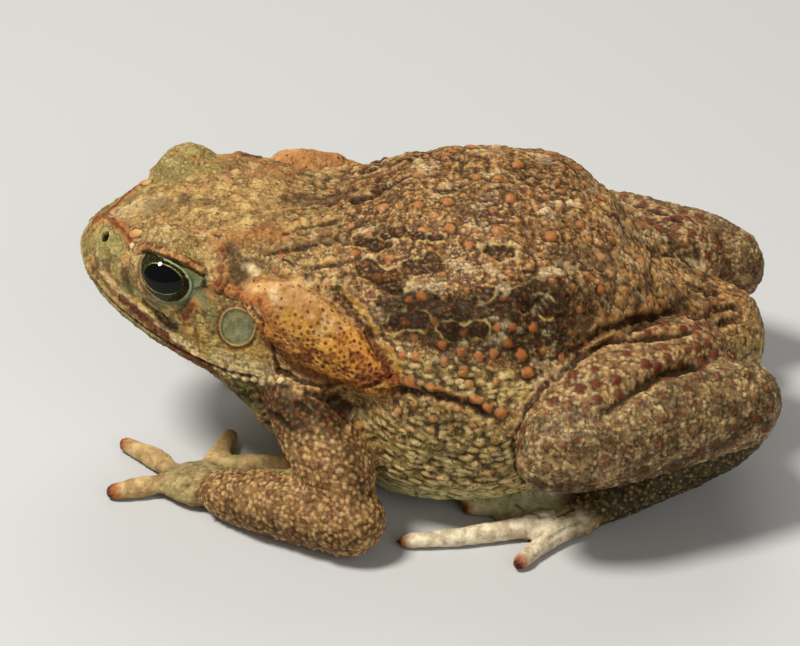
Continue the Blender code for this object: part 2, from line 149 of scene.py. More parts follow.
def ramp(value, start, end):
    """0 before start, 1 after end, smooth between."""
    t = np.clip((np.asarray(value, float) - start) / (end - start), 0, 1)
    return t * t * (3 - 2 * t)


def fade(value, start, end):
    """1 before start and 0 after end."""
    return 1 - ramp(value, start, end)


def band(value, start, full, falling, end):
    """0 before start, 1 from full to falling, and 0 again after end."""
    return ramp(value, start, full) * fade(value, falling, end)


def values_of(items, key, width, kind=np.float32):
    """One row of values for each item of a mesh."""
    flat = np.empty(len(items) * width, kind)
    items.foreach_get(key, flat)
    return flat.reshape(-1, width)


def points_of(mesh):
    return values_of(mesh.vertices, "co", 3).astype(float) / MM


def normals_of(mesh):
    return values_of(mesh.vertex_normals, "vector", 3).astype(float)


def set_points(mesh, points):
    mesh.vertices.foreach_set("co", (points * MM).astype(np.float32).ravel())
    mesh.update()


def on_floor(points):
    """The points with none of them under the floor."""
    return np.maximum(points, (-np.inf, -np.inf, 0))


def edges_of(mesh):
    return values_of(mesh.edges, "vertices", 2, np.int32)


def mesh_from(bm, name):
    """A mesh from a bmesh, which is freed."""
    mesh = bpy.data.meshes.new(name)
    bm.to_mesh(mesh)
    bm.free()
    return mesh


def object_from(name, data):
    """A new object in the scene."""
    obj = bpy.data.objects.new(name, data)
    bpy.context.scene.collection.objects.link(obj)
    return obj


def evaluated(obj):
    """A new mesh with the object's modifiers applied, in place of the object."""
    graph = bpy.context.evaluated_depsgraph_get()
    shape = obj.evaluated_get(graph)
    mesh = bpy.data.meshes.new_from_object(shape, preserve_all_data_layers=True, depsgraph=graph)
    old = obj.data
    bpy.data.objects.remove(obj)
    bpy.data.meshes.remove(old)
    return mesh


def averaged(values, edges):
    """Mean of each vertex's neighbours."""
    count = len(values)
    a, b = edges[:, 0], edges[:, 1]
    degree = np.bincount(a, minlength=count) + np.bincount(b, minlength=count)
    columns = values.reshape(count, -1)
    total = [np.bincount(a, c[b], count) + np.bincount(b, c[a], count) for c in columns.T]
    return (np.stack(total, 1) / np.maximum(degree, 1)[:, None]).reshape(values.shape)


def smoothed(points, edges, rounds, weight=1.0):
    """Points relaxed without shrinking."""
    weight = np.broadcast_to(weight, len(points))[:, None]
    for _ in range(rounds):
        points = points + PULL_IN * weight * (averaged(points, edges) - points)
        points = points - PUSH_OUT * weight * (averaged(points, edges) - points)
    return points


def blurred(values, edges, rounds):
    for _ in range(rounds):
        values = 0.5 * (values + averaged(values, edges))
    return values


def fused(name, meshes, swell, voxel):
    """One closed mesh round several closed meshes, each swollen a little so that neighbours join."""
    joined = bmesh.new()
    for mesh in meshes:
        bm = bmesh.new()
        bm.from_mesh(mesh)
        bmesh.ops.remove_doubles(bm, verts=bm.verts, dist=1e-6)
        bm.normal_update()
        moved = [(vert, vert.co + vert.normal * swell * MM) for vert in bm.verts]
        for vert, place in moved:
            vert.co = place
        swollen = mesh_from(bm, name)
        joined.from_mesh(swollen)
        bpy.data.meshes.remove(swollen)
    return remeshed(mesh_from(joined, name), voxel)


def remeshed(mesh, voxel):
    """The same surface in even quads."""
    obj = object_from(mesh.name, mesh)
    remesh = obj.modifiers.new("remesh", "REMESH")
    remesh.mode = "VOXEL"
    remesh.voxel_size = voxel * MM
    return evaluated(obj)


def ball_mesh(centre, radius, rings):
    bm = bmesh.new()
    bmesh.ops.create_uvsphere(bm, u_segments=2 * rings, v_segments=rings, radius=radius * MM)
    bmesh.ops.translate(bm, verts=bm.verts, vec=Vector(centre) * MM)
    return mesh_from(bm, "ball")


EYES = {side: middle_of(f"eye_{side}") for side in SIDES}


# ---- skin's base ----

def calm_near_eyes(points):
    """0 round the eyes, where the lids' shape is kept, and 1 away from them."""
    weight = np.ones(len(points))
    for centre in EYES.values():
        weight *= ramp(np.linalg.norm(points - centre, axis=1), *EYE_CALM)
    return weight


def part_mesh(names):
    """One body part's solids fused and relaxed, so that their facets and cuts are gone."""
    meshes = [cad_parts[name].data for name in names]
    is_body = names is BODY_NODES
    if is_body:
        meshes += [ball_mesh(centre, EYE_FILL, FILL_RINGS) for centre in EYES.values()]
    mesh = fused(names[0], meshes, BRIDGE, PART_VOXEL)
    points, edges = points_of(mesh), edges_of(mesh)
    weight = EYE_WEIGHT + (1 - EYE_WEIGHT) * calm_near_eyes(points) if is_body else 1.0
    set_points(mesh, smoothed(points, edges, BODY_ROUNDS if is_body else LIMB_ROUNDS, weight))
    return mesh


def skin_base():
    """The smooth low skin that everything finer grows from."""
    mesh = fused("toad_skin", [part_mesh(names) for names in PARTS], JOIN_BRIDGE, SKIN_VOXEL)
    points, edges = points_of(mesh), edges_of(mesh)
    points = smoothed(points, edges, JOINED_ROUNDS)
    set_points(mesh, points)
    points = points - normals_of(mesh) * SHRINK
    set_points(mesh, on_floor(points))
    return mesh


# ---- toad's own coordinates ----

def unrolled(points):
    """Points in the toad's coordinates with the head's lean taken out."""
    angle = ROLL * ramp(-points[:, 1], *ROLL_RANGE)
    c, s = np.cos(angle), np.sin(angle)
    x, z = points[:, 0], points[:, 2] - ROLL_HEIGHT
    return np.stack((x * c - z * s, points[:, 1], ROLL_HEIGHT + z * c + x * s), 1)


def folded(points):
    """Points brought to the left side, so that one feature serves both sides."""
    points = unrolled(points)
    points[:, 0] = np.abs(points[:, 0])
    return points


# ---- lids ----

EYE_OUTLINE = ((139.5, 265), (141, 257.5), (145, 252.5), (151, 253), (158, 256), (165, 259.5), (172, 263.2),
               (179, 267.5), (185.5, 273), (190.5, 281), (191, 288), (187.4, 296), (179.8, 302), (169, 303.5),
               (159, 300), (150, 293), (143, 284), (140, 274.5))
LID_BALL = 6.95           # the lid's edge is this far from the eye's centre
UNDER_BALL = 5.8          # skin inside the opening lies this deep, under the eyeball
LID_REACH = 12.5          # skin further from the eye than this keeps its shape
LID_ROUNDS, LID_BLEND = 16, 26   # smoothing rounds, and degrees over which the lid joins the base
FINE_ROUNDS, FINE_BLEND = 4, 12  # the same on the fine skin
EYE_LEFT = folded((EYES["left"] - MIDDLE)[None])[0]


def on_eye(px, py, radius):
    """Direction from the left eye's centre to where a pixel's ray meets a ball round it."""
    way = ray(px, py)
    start = CAMERA - EYES["left"]
    middle = -(start @ way)
    inside = radius ** 2 - (start @ start - middle ** 2)
    hit = start + way * (middle - math.sqrt(max(inside, 0)))
    point = folded((EYES["left"] + hit - MIDDLE)[None])[0]
    return unit(point - EYE_LEFT)


class Opening:
    """The lid opening as an angle from its axis for each direction round it."""

    def __init__(self):
        edge = np.array([on_eye(px, py, LID_BALL) for px, py in EYE_OUTLINE])
        self.axis = unit(edge.mean(0))
        self.up = unit(np.array((0, 0, 1.0)) - self.axis[2] * self.axis)
        self.rear = np.cross(self.up, self.axis)
        turns, angles = self.turn_angle(edge)
        order = np.argsort(turns)
        self.turns, self.angles = turns[order], angles[order]

    def turn_angle(self, ways):
        turn = np.arctan2(ways @ self.up, ways @ self.rear)
        return turn, np.degrees(np.arccos(np.clip(ways @ self.axis, -1, 1)))

    def beyond(self, ways):
        """Degrees outside the opening's edge, negative inside it, and the turn round the axis."""
        turn, angle = self.turn_angle(ways)
        return angle - np.interp(turn, self.turns, self.angles, period=2 * math.pi), turn


OPENING = Opening()


def around_eyes(points):
    """Vertices near an eye: their numbers, distance from it, degrees beyond its opening, turn and centre."""
    level = folded(points)
    away = np.linalg.norm(level - EYE_LEFT, axis=1)
    near = np.flatnonzero(away < LID_REACH)
    out, turn = OPENING.beyond(unit(level[near] - EYE_LEFT))
    left = unrolled(points[near])[:, :1] > 0
    centres = np.where(left, EYES["left"], EYES["right"]) - MIDDLE
    return near, away[near], out, turn, centres


def shape_lids(points, edges, rounds, blend):
    """Sinks the skin inside each opening under the eyeball and rounds the lid's edge over it."""
    near, away, out, _, centres = around_eyes(points)
    edge = UNDER_BALL + (LID_BALL - UNDER_BALL) * ramp(out, -7, 1)
    edge = edge + 0.10 * band(out, -1, 2, 3, 7)
    keep = ramp(out, 4, blend)
    radius = edge * (1 - keep) + away * keep
    points = points.copy()
    points[near] = centres + unit(points[near] - centres) * radius[:, None]
    loose = np.zeros(len(points))
    loose[near] = band(out, 1, 8, 24, 38)
    loose[near] *= fade(away, LID_REACH - 2.5, LID_REACH - 0.3)
    edges = edges[(loose[edges] > 0).all(1)]
    joined = np.zeros(len(points))
    joined[edges.ravel()] = 1
    pull = (0.5 * loose * joined)[:, None]
    for _ in range(rounds):
        points = points + pull * (averaged(points, edges) - points)
    return points


def with_lids(mesh, rounds, blend):
    """The mesh's points in the toad's coordinates, with the lids shaped."""
    return shape_lids(points_of(mesh) - MIDDLE, edges_of(mesh), rounds, blend)


# ---- repeatable noise ----

def hashed(cells, seed):
    """A repeatable number in 0..1 for each whole-number cell."""
    cells = cells.astype(np.int64)
    mixed = cells[:, 0] * 73856093 ^ cells[:, 1] * 19349663 ^ cells[:, 2] * 83492791 ^ seed * 40503
    mixed = (mixed ^ (mixed >> 13)) * 1274126177 & 0xFFFFFFFF
    mixed = (mixed ^ (mixed >> 15)) * 668265263 & 0xFFFFFFFF
    return (mixed >> 8) / 0xFFFFFF


def wave(points, size, seed):
    """Smooth noise in -1..1 whose bumps are about size mm across."""
    places = points / size
    low = np.floor(places)
    t = places - low
    t = t * t * (3 - 2 * t)
    total = np.zeros(len(points))
    for corner in np.ndindex(2, 2, 2):
        share = np.prod([t[:, i] if corner[i] else 1 - t[:, i] for i in range(3)], axis=0)
        total += share * hashed(low + corner, seed)
    return 2 * total - 1


GRAIN_REACH = 0.62        # a grain's edge, in lattice cells
GRAIN_JITTER = 0.36       # how far a grain strays from its cell's middle


def grains(points, size, seed):
    """Round grains on a jittered lattice: a dome height in 0..1 and a random number for each grain."""
    places = points / size
    low = np.floor(places - 0.5)
    best = np.full(len(points), 9.0)
    number = np.zeros(len(points))
    for corner in np.ndindex(2, 2, 2):
        cell = low + corner
        shift = np.stack([hashed(cell, seed + 11 * axis) for axis in range(3)], 1) - 0.5
        away = ((places - cell - 0.5 - 2 * GRAIN_JITTER * shift) ** 2).sum(1)
        near = away < best
        best = np.where(near, away, best)
        number = np.where(near, hashed(cell, seed + 5), number)
    return np.clip(1 - best / GRAIN_REACH ** 2, 0, 1), number


# ---- skin regions ----

REGION_OF = {"head": "head", "lower_jaw": "jaw", "trunk": "trunk", "eardrum": "drum", "parotoid": "gland",
             "upper_arm": "arm", "forearm": "arm", "hand": "hand", "finger": "finger", "thigh": "thigh",
             "shank": "shank", "tarsus": "tarsus", "foot": "foot", "toe": "toe"}
REGIONS = sorted(set(REGION_OF.values()))
REGION_BLUR = 12


def region_number(node):
    stem = next(stem for stem in REGION_OF if node.startswith(stem))
    return REGIONS.index(REGION_OF[stem])


def flesh_tree():
    """A search tree over the flesh solids, and the region of each of its triangles."""
    corners, triangles, regions = [], [], []
    for name in FLESH:
        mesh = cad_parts[name].data
        start = len(corners)
        corners += [vert.co / MM for vert in mesh.vertices]
        triangles += [[start + index for index in polygon.vertices] for polygon in mesh.polygons]
        regions += [region_number(name)] * len(mesh.polygons)
    return BVHTree.FromPolygons(corners, triangles), np.array(regions)


def mark_regions(mesh):
    """Stores how much of each region every vertex of the base belongs to."""
    tree, regions = flesh_tree()
    points = points_of(mesh)
    nearest = regions[[tree.find_nearest(point)[2] for point in points]]
    shares = np.eye(len(REGIONS))[nearest]
    shares = blurred(shares, edges_of(mesh), REGION_BLUR)
    for name, share in zip(REGIONS, shares.T):
        store(mesh, name, share)


def store(mesh, name, values):
    layer = mesh.attributes.new(name, "FLOAT", "POINT")
    layer.data.foreach_set("value", np.asarray(values, np.float32))


def stored(mesh, name):
    return values_of(mesh.attributes[name].data, "value", 1)[:, 0].astype(float)


# ---- places on the skin ----

def surface_of(mesh):
    """A search tree over the mesh, in the toad's coordinates."""
    faces = [list(face.vertices) for face in mesh.polygons]
    return BVHTree.FromPolygons((points_of(mesh) - MIDDLE).tolist(), faces)


def seen(px, py):
    """The point of the smooth skin, in the toad's coordinates, at a pixel of the picture."""
    way = ray(px, py)
    start = CAMERA - MIDDLE
    hit = SURFACE.ray_cast(Vector(start), Vector(way))[0]
    if hit is None:
        hit = SURFACE.find_nearest(Vector(start + way * CAMERA_DISTANCE))[0]
    return np.array(hit)


def gap_to(knots, field, reach):
    """Vertices within reach of a path through knots, their distance from it and place along it in 0..1."""
    low, high = knots.min(0) - reach, knots.max(0) + reach
    near = np.flatnonzero(((field > low) & (field < high)).all(1))
    points = field[near]
    best = np.linalg.norm(points - knots[0], axis=1)
    place = np.zeros(len(near))
    passed = 0.0
    for a, b in zip(knots, knots[1:]):
        along = b - a
        length = np.linalg.norm(along)
        t = np.clip((points - a) @ along / length ** 2, 0, 1)
        gap = np.linalg.norm(points - a - t[:, None] * along, axis=1)
        place = np.where(gap < best, passed + t * length, place)
        best = np.minimum(best, gap)
        passed += length
    return near, best, place / passed


# ---- skin's fine mesh ----

KNEE = ((518, 436), (528, 422), (548, 411), (572, 404))
KNEE_ROUNDS = 70
KNEE_REACH = (3.0, 8.0)   # the groove is filled fully within the first distance and fades by the second
UNWRAP_ANGLE = math.radians(66)
UNWRAP_MARGIN = 0.002


def fill_knees(mesh):
    """Closes the groove between thigh and shank where the skin runs round the knee."""
    knots = folded(np.array([seen(*pixel) for pixel in KNEE]))
    points, edges = points_of(mesh) - MIDDLE, edges_of(mesh)
    near, away, _ = gap_to(knots, folded(points), KNEE_REACH[1] + 1)
    weight = np.zeros((len(points), 1))
    weight[near, 0] = 0.5 * fade(away, *KNEE_REACH)
    for _ in range(KNEE_ROUNDS):
        points += weight * (averaged(points, edges) - points)
    set_points(mesh, points + MIDDLE)


def unwrap(mesh):
    """A flat layout on the smooth base, which the finer mesh inherits."""
    obj = object_from("unwrap", mesh)
    bpy.context.view_layer.objects.active = obj
    obj.select_set(True)
    mesh.uv_layers.new(name="OFBake")
    bpy.ops.object.mode_set(mode="EDIT")
    bpy.ops.mesh.select_all(action="SELECT")
    bpy.ops.uv.smart_project(angle_limit=UNWRAP_ANGLE, island_margin=UNWRAP_MARGIN)
    bpy.ops.object.mode_set(mode="OBJECT")
    bpy.data.objects.remove(obj)


def refine_head(mesh):
    """Halves the edges of the head's faces."""
    share = stored(mesh, "head") + stored(mesh, "jaw") + stored(mesh, "drum")
    share = np.maximum(share, 0.8 * stored(mesh, "gland"))
    bm = bmesh.new()
    bm.from_mesh(mesh)
    fine = [edge for edge in bm.edges if min(share[vert.index] for vert in edge.verts) > FINE_LIMIT]
    bmesh.ops.subdivide_edges(bm, edges=fine, cuts=1, use_grid_fill=True)
    bm.to_mesh(mesh)
    bm.free()
    points = points_of(mesh)
    set_points(mesh, smoothed(points, edges_of(mesh), HEAD_ROUNDS))


def dense_skin(mesh):
    """The skin at the resolution that carries warts and grains."""
    refine_head(mesh)
    obj = object_from("fine", mesh)
    divide = obj.modifiers.new("divide", "SUBSURF")
    divide.levels = divide.render_levels = 1
    return evaluated(obj)


def lidded_base():
    """The base with its lids roughly shaped, in even quads again."""
    mesh = skin_base()
    set_points(mesh, with_lids(mesh, LID_ROUNDS, LID_BLEND) + MIDDLE)
    mesh = remeshed(mesh, SKIN_VOXEL)
    points = smoothed(points_of(mesh), edges_of(mesh), LIDDED_ROUNDS)
    set_points(mesh, on_floor(points))
    return mesh


base = lidded_base()
mark_regions(base)
SURFACE = surface_of(base)
fill_knees(base)
unwrap(base)
lidded = base.copy()
set_points(lidded, with_lids(lidded, FINE_ROUNDS, FINE_BLEND) + MIDDLE)
SURFACE = surface_of(lidded)
skin_mesh = dense_skin(base)
skin_mesh.name = "toad_skin"
POINTS = with_lids(skin_mesh, FINE_ROUNDS, FINE_BLEND)
FOLDED = folded(POINTS)
COUNT = len(POINTS)
ALONG, HEIGHT = POINTS[:, 1], POINTS[:, 2]   # backwards and up
OUT, LEVEL = FOLDED[:, 0], FOLDED[:, 2]      # outwards and up, with the head's lean taken out
REGION = {name: stored(skin_mesh, name) for name in REGIONS}
HEAD, JAW, GLAND, TRUNK, ARM, THIGH, SHANK = [
    REGION[name] for name in ("head", "jaw", "gland", "trunk", "arm", "thigh", "shank")]
FACE = HEAD + JAW         # the whole head
DIGITS = REGION["finger"] + REGION["toe"]

LIFT = np.zeros(COUNT)    # mm outwards along the normal
PAINTS = ("shade", "rust", "maroon", "cream", "peach", "dark", "dusk", "outline", "lid", "mint", "green",
          "olive", "gold", "tip", "nail", "grain", "relief", "nostril", "pore", "blotch", "crest", "wart",
          "granules")
PAINT = {name: np.zeros(COUNT) for name in PAINTS}
PAINT["relief"] += 0.5
PAINT["grain"] += 0.5
CALM = np.ones(COUNT)     # 0 where no grain shows
DOME = np.zeros(COUNT)    # the tops of the eyelids


def ripple(size, seed):
    """Noise over the whole skin."""
    return wave(POINTS, size, seed)


def put(name, mask, near=slice(None)):
    """Paints where the mask is stronger than what is there."""
    PAINT[name][near] = np.maximum(PAINT[name][near], mask)


def shifted(path, right, down):
    return [(px + right, py + down) for px, py in path]


# ---- marks on the skin ----

def is_paired(point):
    """Whether a feature here has a twin on the other side."""
    return point[0] > (HEAD_FOLD_FROM if point[1] < HEAD_FOLD_Y else FOLD_FROM)


def path_gap(path, reach):
    """What gap_to finds for a path of pixels; a paired feature is on both sides."""
    knots = np.array([seen(*pixel) for pixel in path])
    if is_paired(knots.mean(0)):
        return gap_to(folded(knots), FOLDED, reach)
    return gap_to(knots, POINTS, reach)


def stroke(path, half_width, lift=0, paint="", strength=1, wobble=0.25, soft=0.45, seed=1, taper=0):
    """Raises or sinks the skin and colours it along a path; taper is the part that fades at each end."""
    near, away, place = path_gap(path, half_width * (1 + soft) + wobble + 0.5)
    away = away + wobble * wave(POINTS[near], 1.6, seed)
    mask = fade(away, half_width * (1 - soft), half_width * (1 + soft))
    if taper:
        mask *= ramp(np.minimum(place, 1 - place), 0, taper)
    LIFT[near] += lift * mask
    if paint:
        put(paint, strength * mask, near)


def strokes(rows):
    """Strokes from rows of stroke's arguments in their order."""
    for row in rows:
        stroke(*row)


def mottle(paint, share, size, fine_size, fine_share, seed, start, end):
    """Ragged blotches: broad noise with finer noise on it, between two thresholds."""
    noise = ripple(size, seed) + fine_share * ripple(fine_size, seed + 1)
    put(paint, share * ramp(noise, start, end))


def patch(path, half_width, seed):
    """A dark blotch with a thin, broken, pale outline."""
    near, away, _ = path_gap(path, half_width + 3)
    points = POINTS[near]
    away = away + 1.1 * wave(points, 2.4, seed) + 0.4 * wave(points, 0.9, seed + 1)
    inside = fade(away - half_width, -0.25, 0.15)
    line = band(away - half_width, -0.1, 0.2, 0.4, 0.8)
    broken = ramp(wave(points, 1.8, seed + 2), -0.35, 0.35)
    put("dark", 0.9 * inside, near)
    put("outline", 0.8 * line * broken, near)
    LIFT[near] -= 0.12 * inside


# ---- warts ----

SCATTER_SHARE = 0.2       # part of the vertices that are tried
COVER = np.zeros(COUNT)   # where a wart already shapes the skin
CELL_ROOM = 1.0           # a cell of the search grid is this much wider than the widest spacing
WART_ROOM = 0.3           # bare skin round a wart that was placed before
WART_REACH = 1.3          # a wart and the moat round it, in its own radii
WART_ROUND = 0.75         # the power that gives a wart its dome
MOAT_SHADE = 0.85               # how dark the painted shade in the moat round a wart is


class Warts:
    """Round bumps in every size, gathered first and raised together."""

    def __init__(self):
        self.rows = []

    def add(self, point, radius, height, paint, strength):
        self.rows.append((tuple(point), radius, height, paint, strength))

    def at(self, px, py, radius, height, paint, strength):
        """A wart at a pixel, and on the flank its twin on the other side."""
        point = seen(px, py)
        self.add(point, radius, height, paint, strength)
        if is_paired(point):
            level = folded(point[None])[0]
            level[0] *= -1
            self.add(SURFACE.find_nearest(Vector(level))[0], radius, height, paint, strength)

    def scatter(self, weight, spacing, sizes, height, paint, strength, seed):
        """Warts at random where weight allows, apart from each other and from those placed before."""
        rng = np.random.default_rng(seed)
        allowed = np.flatnonzero(rng.random(COUNT) < weight * SCATTER_SHARE)
        allowed = rng.permutation(allowed)
        cell = spacing[1] + CELL_ROOM
        grid = {}
        for point, radius, *_ in self.rows:
            grid.setdefault(tuple(int(c // cell) for c in point), []).append((*point, radius + WART_ROOM))
        for index in allowed:
            point = POINTS[index].tolist()
            apart = rng.uniform(*spacing)
            radius = rng.uniform(*sizes)
            key = [int(c // cell) for c in point]
            if not self.crowded(grid, key, point, apart):
                grid.setdefault(tuple(key), []).append((*point, apart / 2))
                self.add(point, radius, height * radius, paint, strength * rng.uniform(0.6, 1))

    def scatter_all(self, rows):
        """Scatters warts for each row of scatter's arguments."""
        for row in rows:
            self.scatter(*row)

    @staticmethod
    def crowded(grid, key, point, apart):
        """Whether something in the cells round a point is closer than the two may be."""
        for i, j, k in np.ndindex(3, 3, 3):
            for x, y, z, half in grid.get((key[0] + i - 1, key[1] + j - 1, key[2] + k - 1), ()):
                room = half + apart / 2
                if (x - point[0]) ** 2 + (y - point[1]) ** 2 + (z - point[2]) ** 2 < room * room:
                    return True
        return False

    def raise_all(self):
        """Every vertex's height: the tallest bump wins and pits add up."""
        tree = KDTree(COUNT)
        for index, point in enumerate(POINTS.tolist()):
            tree.insert(point, index)
        tree.balance()
        bumps = np.zeros(COUNT)
        ragged = 0.22 * ripple(0.9, 95)
        for point, radius, height, paint, strength in self.rows:
            hits = tree.find_range(point, radius * WART_REACH)
            if not hits:
                continue
            near = np.array([hit[1] for hit in hits])
            t = np.array([hit[2] for hit in hits]) / radius + ragged[near]
            dome = height * np.clip(1 - t * t, 0, 1) ** WART_ROUND
            is_bump = height > 0
            wins = (dome > bumps[near]) | (not is_bump)
            bumps[near] = np.maximum(bumps[near], dome) if is_bump else bumps[near] + dome
            put(paint, strength * fade(t, 0.75, 1.05) * wins, near)
            # painted shade in the moat round each raised wart
            moat = band(t, 0.8, 1.0, 1.05, WART_REACH)
            put("dusk", MOAT_SHADE * strength * is_bump * moat, near)
            COVER[near] = np.maximum(COVER[near], fade(t, 0.8, 1.1))
        return bumps


# ---- features of the head ----

def paint_lids():
    """The bare blue-green lid skin, its pale edge and painted shade in the front corner."""
    near, away, out, turn, _ = around_eyes(POINTS)
    rear, above = np.cos(turn), np.sin(turn)
    close = fade(away, 9.0, 11.5)
    skin = ramp(out, -3, 0) * close
    ragged = out + 2.2 * wave(POINTS[near], 1.3, 91)
    width = 6 + 9 * np.clip(rear, 0, 1) ** 2
    rim = band(out, -1.8, -0.6, 0.0, 1.1) * close
    corner = ramp(out, -2, 0) * fade(ragged, 5, 11) * close
    put("lid", skin * fade(ragged, width * 0.8, width * 1.3) * ramp(rear, -0.8, -0.1), near)
    upper = fade(ragged, 8, 13) * ramp(above, 0.25, 0.7) * fade(rear, 0.3, 0.8)
    put("olive", 0.6 * skin * upper, near)
    put("mint", rim * ramp(0.75 * rear + 0.5 * above, -0.15, 0.5), near)
    # painted shade in the eye's front corner
    put("dusk", 0.9 * corner * ramp(-rear - 0.3 * above, 0.35, 0.9), near)
    CALM[near] *= ramp(out, 2, 10 + 6 * np.clip(rear, 0, 1))
    DOME[near] = ramp(out, 14, 22) * close * ramp(above, 0.1, 0.5)


BROW = ((137, 252), (142, 248.5), (148, 247.6), (162, 252), (180, 258.7), (192, 265), (201.4, 270.6))
SNOUT_EDGE = ((97, 218.5), (104.8, 216.6), (114, 221), (121.8, 227.7), (128.4, 235.5), (132.3, 242))
EAR_CREST = ((219, 284.5), (231.6, 291.7), (248.6, 298), (263, 302), (269.5, 308.7))
EYE_CREST = ((213, 240), (221, 250), (222.5, 268), (220.5, 284))
REAR_CREST = ((221, 284), (211, 291), (201, 299), (192, 307), (186, 316))
TOP_CREST = ((158, 226), (185, 227), (211, 233), (224, 234))
LIP_LINE = ((91.5, 240), (92.5, 256), (98, 270), (105.5, 282), (114, 293), (124, 303))
LIP_BLOTCHES = ((124.5, 300), (136, 310), (141.5, 315.5), (148, 320.5), (153, 327), (163.7, 333.6),
                (171.5, 344), (179.4, 348), (191, 358.4), (202, 364), (211, 369))
LIP_BUMPS = ((130, 296), (140, 304), (147, 311), (156, 318), (163, 325), (172, 331), (181, 338), (190, 345),
             (199, 353), (207, 361), (215, 368), (224, 374))
NECK_CREASES = (((256, 258), (300, 250), (345, 240)), ((268, 240), (312, 228), (350, 214)),
                ((286, 214), (320, 206), (352, 198)), ((300, 270), (325, 268), (350, 262)))
# where the mouth closes, as (y, z) in the toad's coordinates
MOUTH = ((-74, 50.6), (-69, 47.4), (-65, 44.4), (-60, 42), (-52, 39), (-44, 36.2), (-36, 34), (-28, 32.4))

# rows of stroke's arguments: path, half width, lift, paint, strength, wobble, soft, seed and taper
HEAD_LINES = (            # ridges, creases, nostril and lip
    (SNOUT_EDGE, 1.15, 0.4, "rust", 0.75, 0.5, 0.6),
    (shifted(SNOUT_EDGE, -0.3, 1.2), 0.55, 0, "maroon", 0.8, 0.7, 0.45, 4),
    (BROW, 0.7, 0.55, "rust", 0.7, 0.2),
    # painted shadow under the brow
    (shifted(BROW[1:], 1, 4.5), 0.5, -0.3, "dusk", 0.85, 0.1),
    (((176, 262), (190, 270), (199, 275)), 0.8, -0.1, "olive", 0.7, 0.2),
    (TOP_CREST, 0.6, 0.28, "rust", 0.5),
    (EYE_CREST, 1, 0.4, "rust", 0.55, 1.1, 0.7),
    (EYE_CREST[1:], 0.5, 0, "maroon", 0.7, 1, 0.45, 7),
    (REAR_CREST, 1.25, 0.45, "rust", 0.95, 0.5),
    (REAR_CREST[1:], 0.45, 0.05, "maroon", 0.8, 0.6),
    (EAR_CREST, 1.2, 0.55, "rust", 0.95),
    (((104, 231), (111, 239), (116, 249)), 1.8, -0.3, "green", 0.75),
    (((101, 248), (108, 258)), 1, -0.1, "green", 0.5),
    (((104.0, 233.6), (104.5, 237.6)), 0.95, -1.2, "nostril", 1, 0.05, 0.16),
    (((103, 243), (107, 252), (113, 260)), 0.6, -0.12, "dusk", 0.6, 0.5, 0.45, 1, 0.3),
    (((119, 236), (123, 243), (124, 252)), 0.9, 0, "green", 0.6, 0.5),
    (LIP_LINE, 0.55, 0.1, "rust", 0.5, 0.7),
    (LIP_LINE[2:], 0.45, 0, "maroon", 0.6, 0.7, 0.45, 5),
    (shifted(LIP_LINE[1:], 5, -2), 0.9, 0.05, "cream", 0.5, 0.8),
)


HEAD_MARKS = (            # stains, flecks and blotches
    (((128, 249), (127, 260), (126, 270)), 0.8, 0.05, "rust", 0.5, 0.8, 0.7),
    (((125, 271), (127, 284), (132, 292)), 1, 0, "dark", 0.75, 0.8),
    (((146, 303), (155, 311), (163, 317)), 0.8, -0.1, "dark", 0.85, 0.6),
    (((160, 317), (167, 323), (174, 328)), 1.15, -0.1, "dark", 0.95, 0.6),
    (((167, 312), (180, 320)), 0.75, 0.15, "outline", 0.9, 0.5),
    (((186, 316), (185, 330), (190, 340)), 0.9, 0.1, "rust", 0.6, 0.8, 0.45, 1, 0.2),
    (((195, 318), (196, 334)), 0.6, 0, "maroon", 0.75, 0.5),
    (((198, 340), (200, 352)), 0.4, 0, "maroon", 0.7, 0.4),
    (((190, 306), (192, 316)), 0.5, 0, "maroon", 0.5, 0.4),
    (((207, 322), (207, 331)), 0.35, 0, "maroon", 0.4, 0.4),
    (((222, 358), (262, 370)), 2.4, 0, "cream", 0.5, 0.9),
    (((96, 246), (106, 268), (126, 288)), 3, 0, "olive", 0.5, 1.6),
    (((118, 214), (150, 204)), 3.4, 0, "cream", 0.35, 1.6),
    (((200, 338), (228, 352), (258, 352)), 2.2, 0, "gold", 0.4, 1.1),
    (((92, 255), (110, 278), (140, 305), (175, 336), (205, 357)), 0.9, 0, "peach", 0.55, 1),
    (((132, 296), (150, 312), (178, 334)), 0.7, 0, "gold", 0.6, 0.8, 0.45, 6),
    (((246, 267), (256, 272)), 0.9, 0.1, "cream", 0.9, 0.6),
    (((232, 248), (238, 266), (238, 280)), 2, 0, "dusk", 0.65, 1),
    (((152, 204), (176, 206), (200, 200)), 2.6, 0, "blotch", 0.6, 2.6, 0.6),
    (((236, 240), (262, 232), (286, 238)), 2.2, 0, "rust", 0.5, 1.6, 0.7),
    (((294, 200), (318, 200), (348, 196)), 2.6, -0.2, "blotch", 0.95, 2.2, 0.4),
    (((234, 250), (240, 262), (242, 276)), 1.5, -0.2, "blotch", 0.8, 1.2, 0.5),
    (((262, 256), (300, 246), (340, 238)), 1.2, 0, "blotch", 0.75, 1.6, 0.5),
    (((296, 236), (335, 230)), 2, 0, "dusk", 0.4, 1.8, 0.8),
    (((232, 176), (262, 172), (290, 178)), 1.8, 0, "rust", 0.35, 1.6, 0.8),
    (((204.5, 282), (203, 289)), 0.65, -0.1, "dark", 0.95, 0.2),
    (((283, 262), (292, 266)), 0.35, -0.3, "dark", 0.9),
    (((168, 168), (200, 158)), 5.5, 0, "olive", 0.8, 1.2),
    (((165, 238), (196, 248)), 2.4, 0, "olive", 0.3, 1.2),
    (LIP_BLOTCHES, 0.5, 0, "rust", 0.8, 0.35),
    (shifted(LIP_BLOTCHES[1:], 5, -4), 0.6, 0.1, "cream", 0.7, 0.6),
)


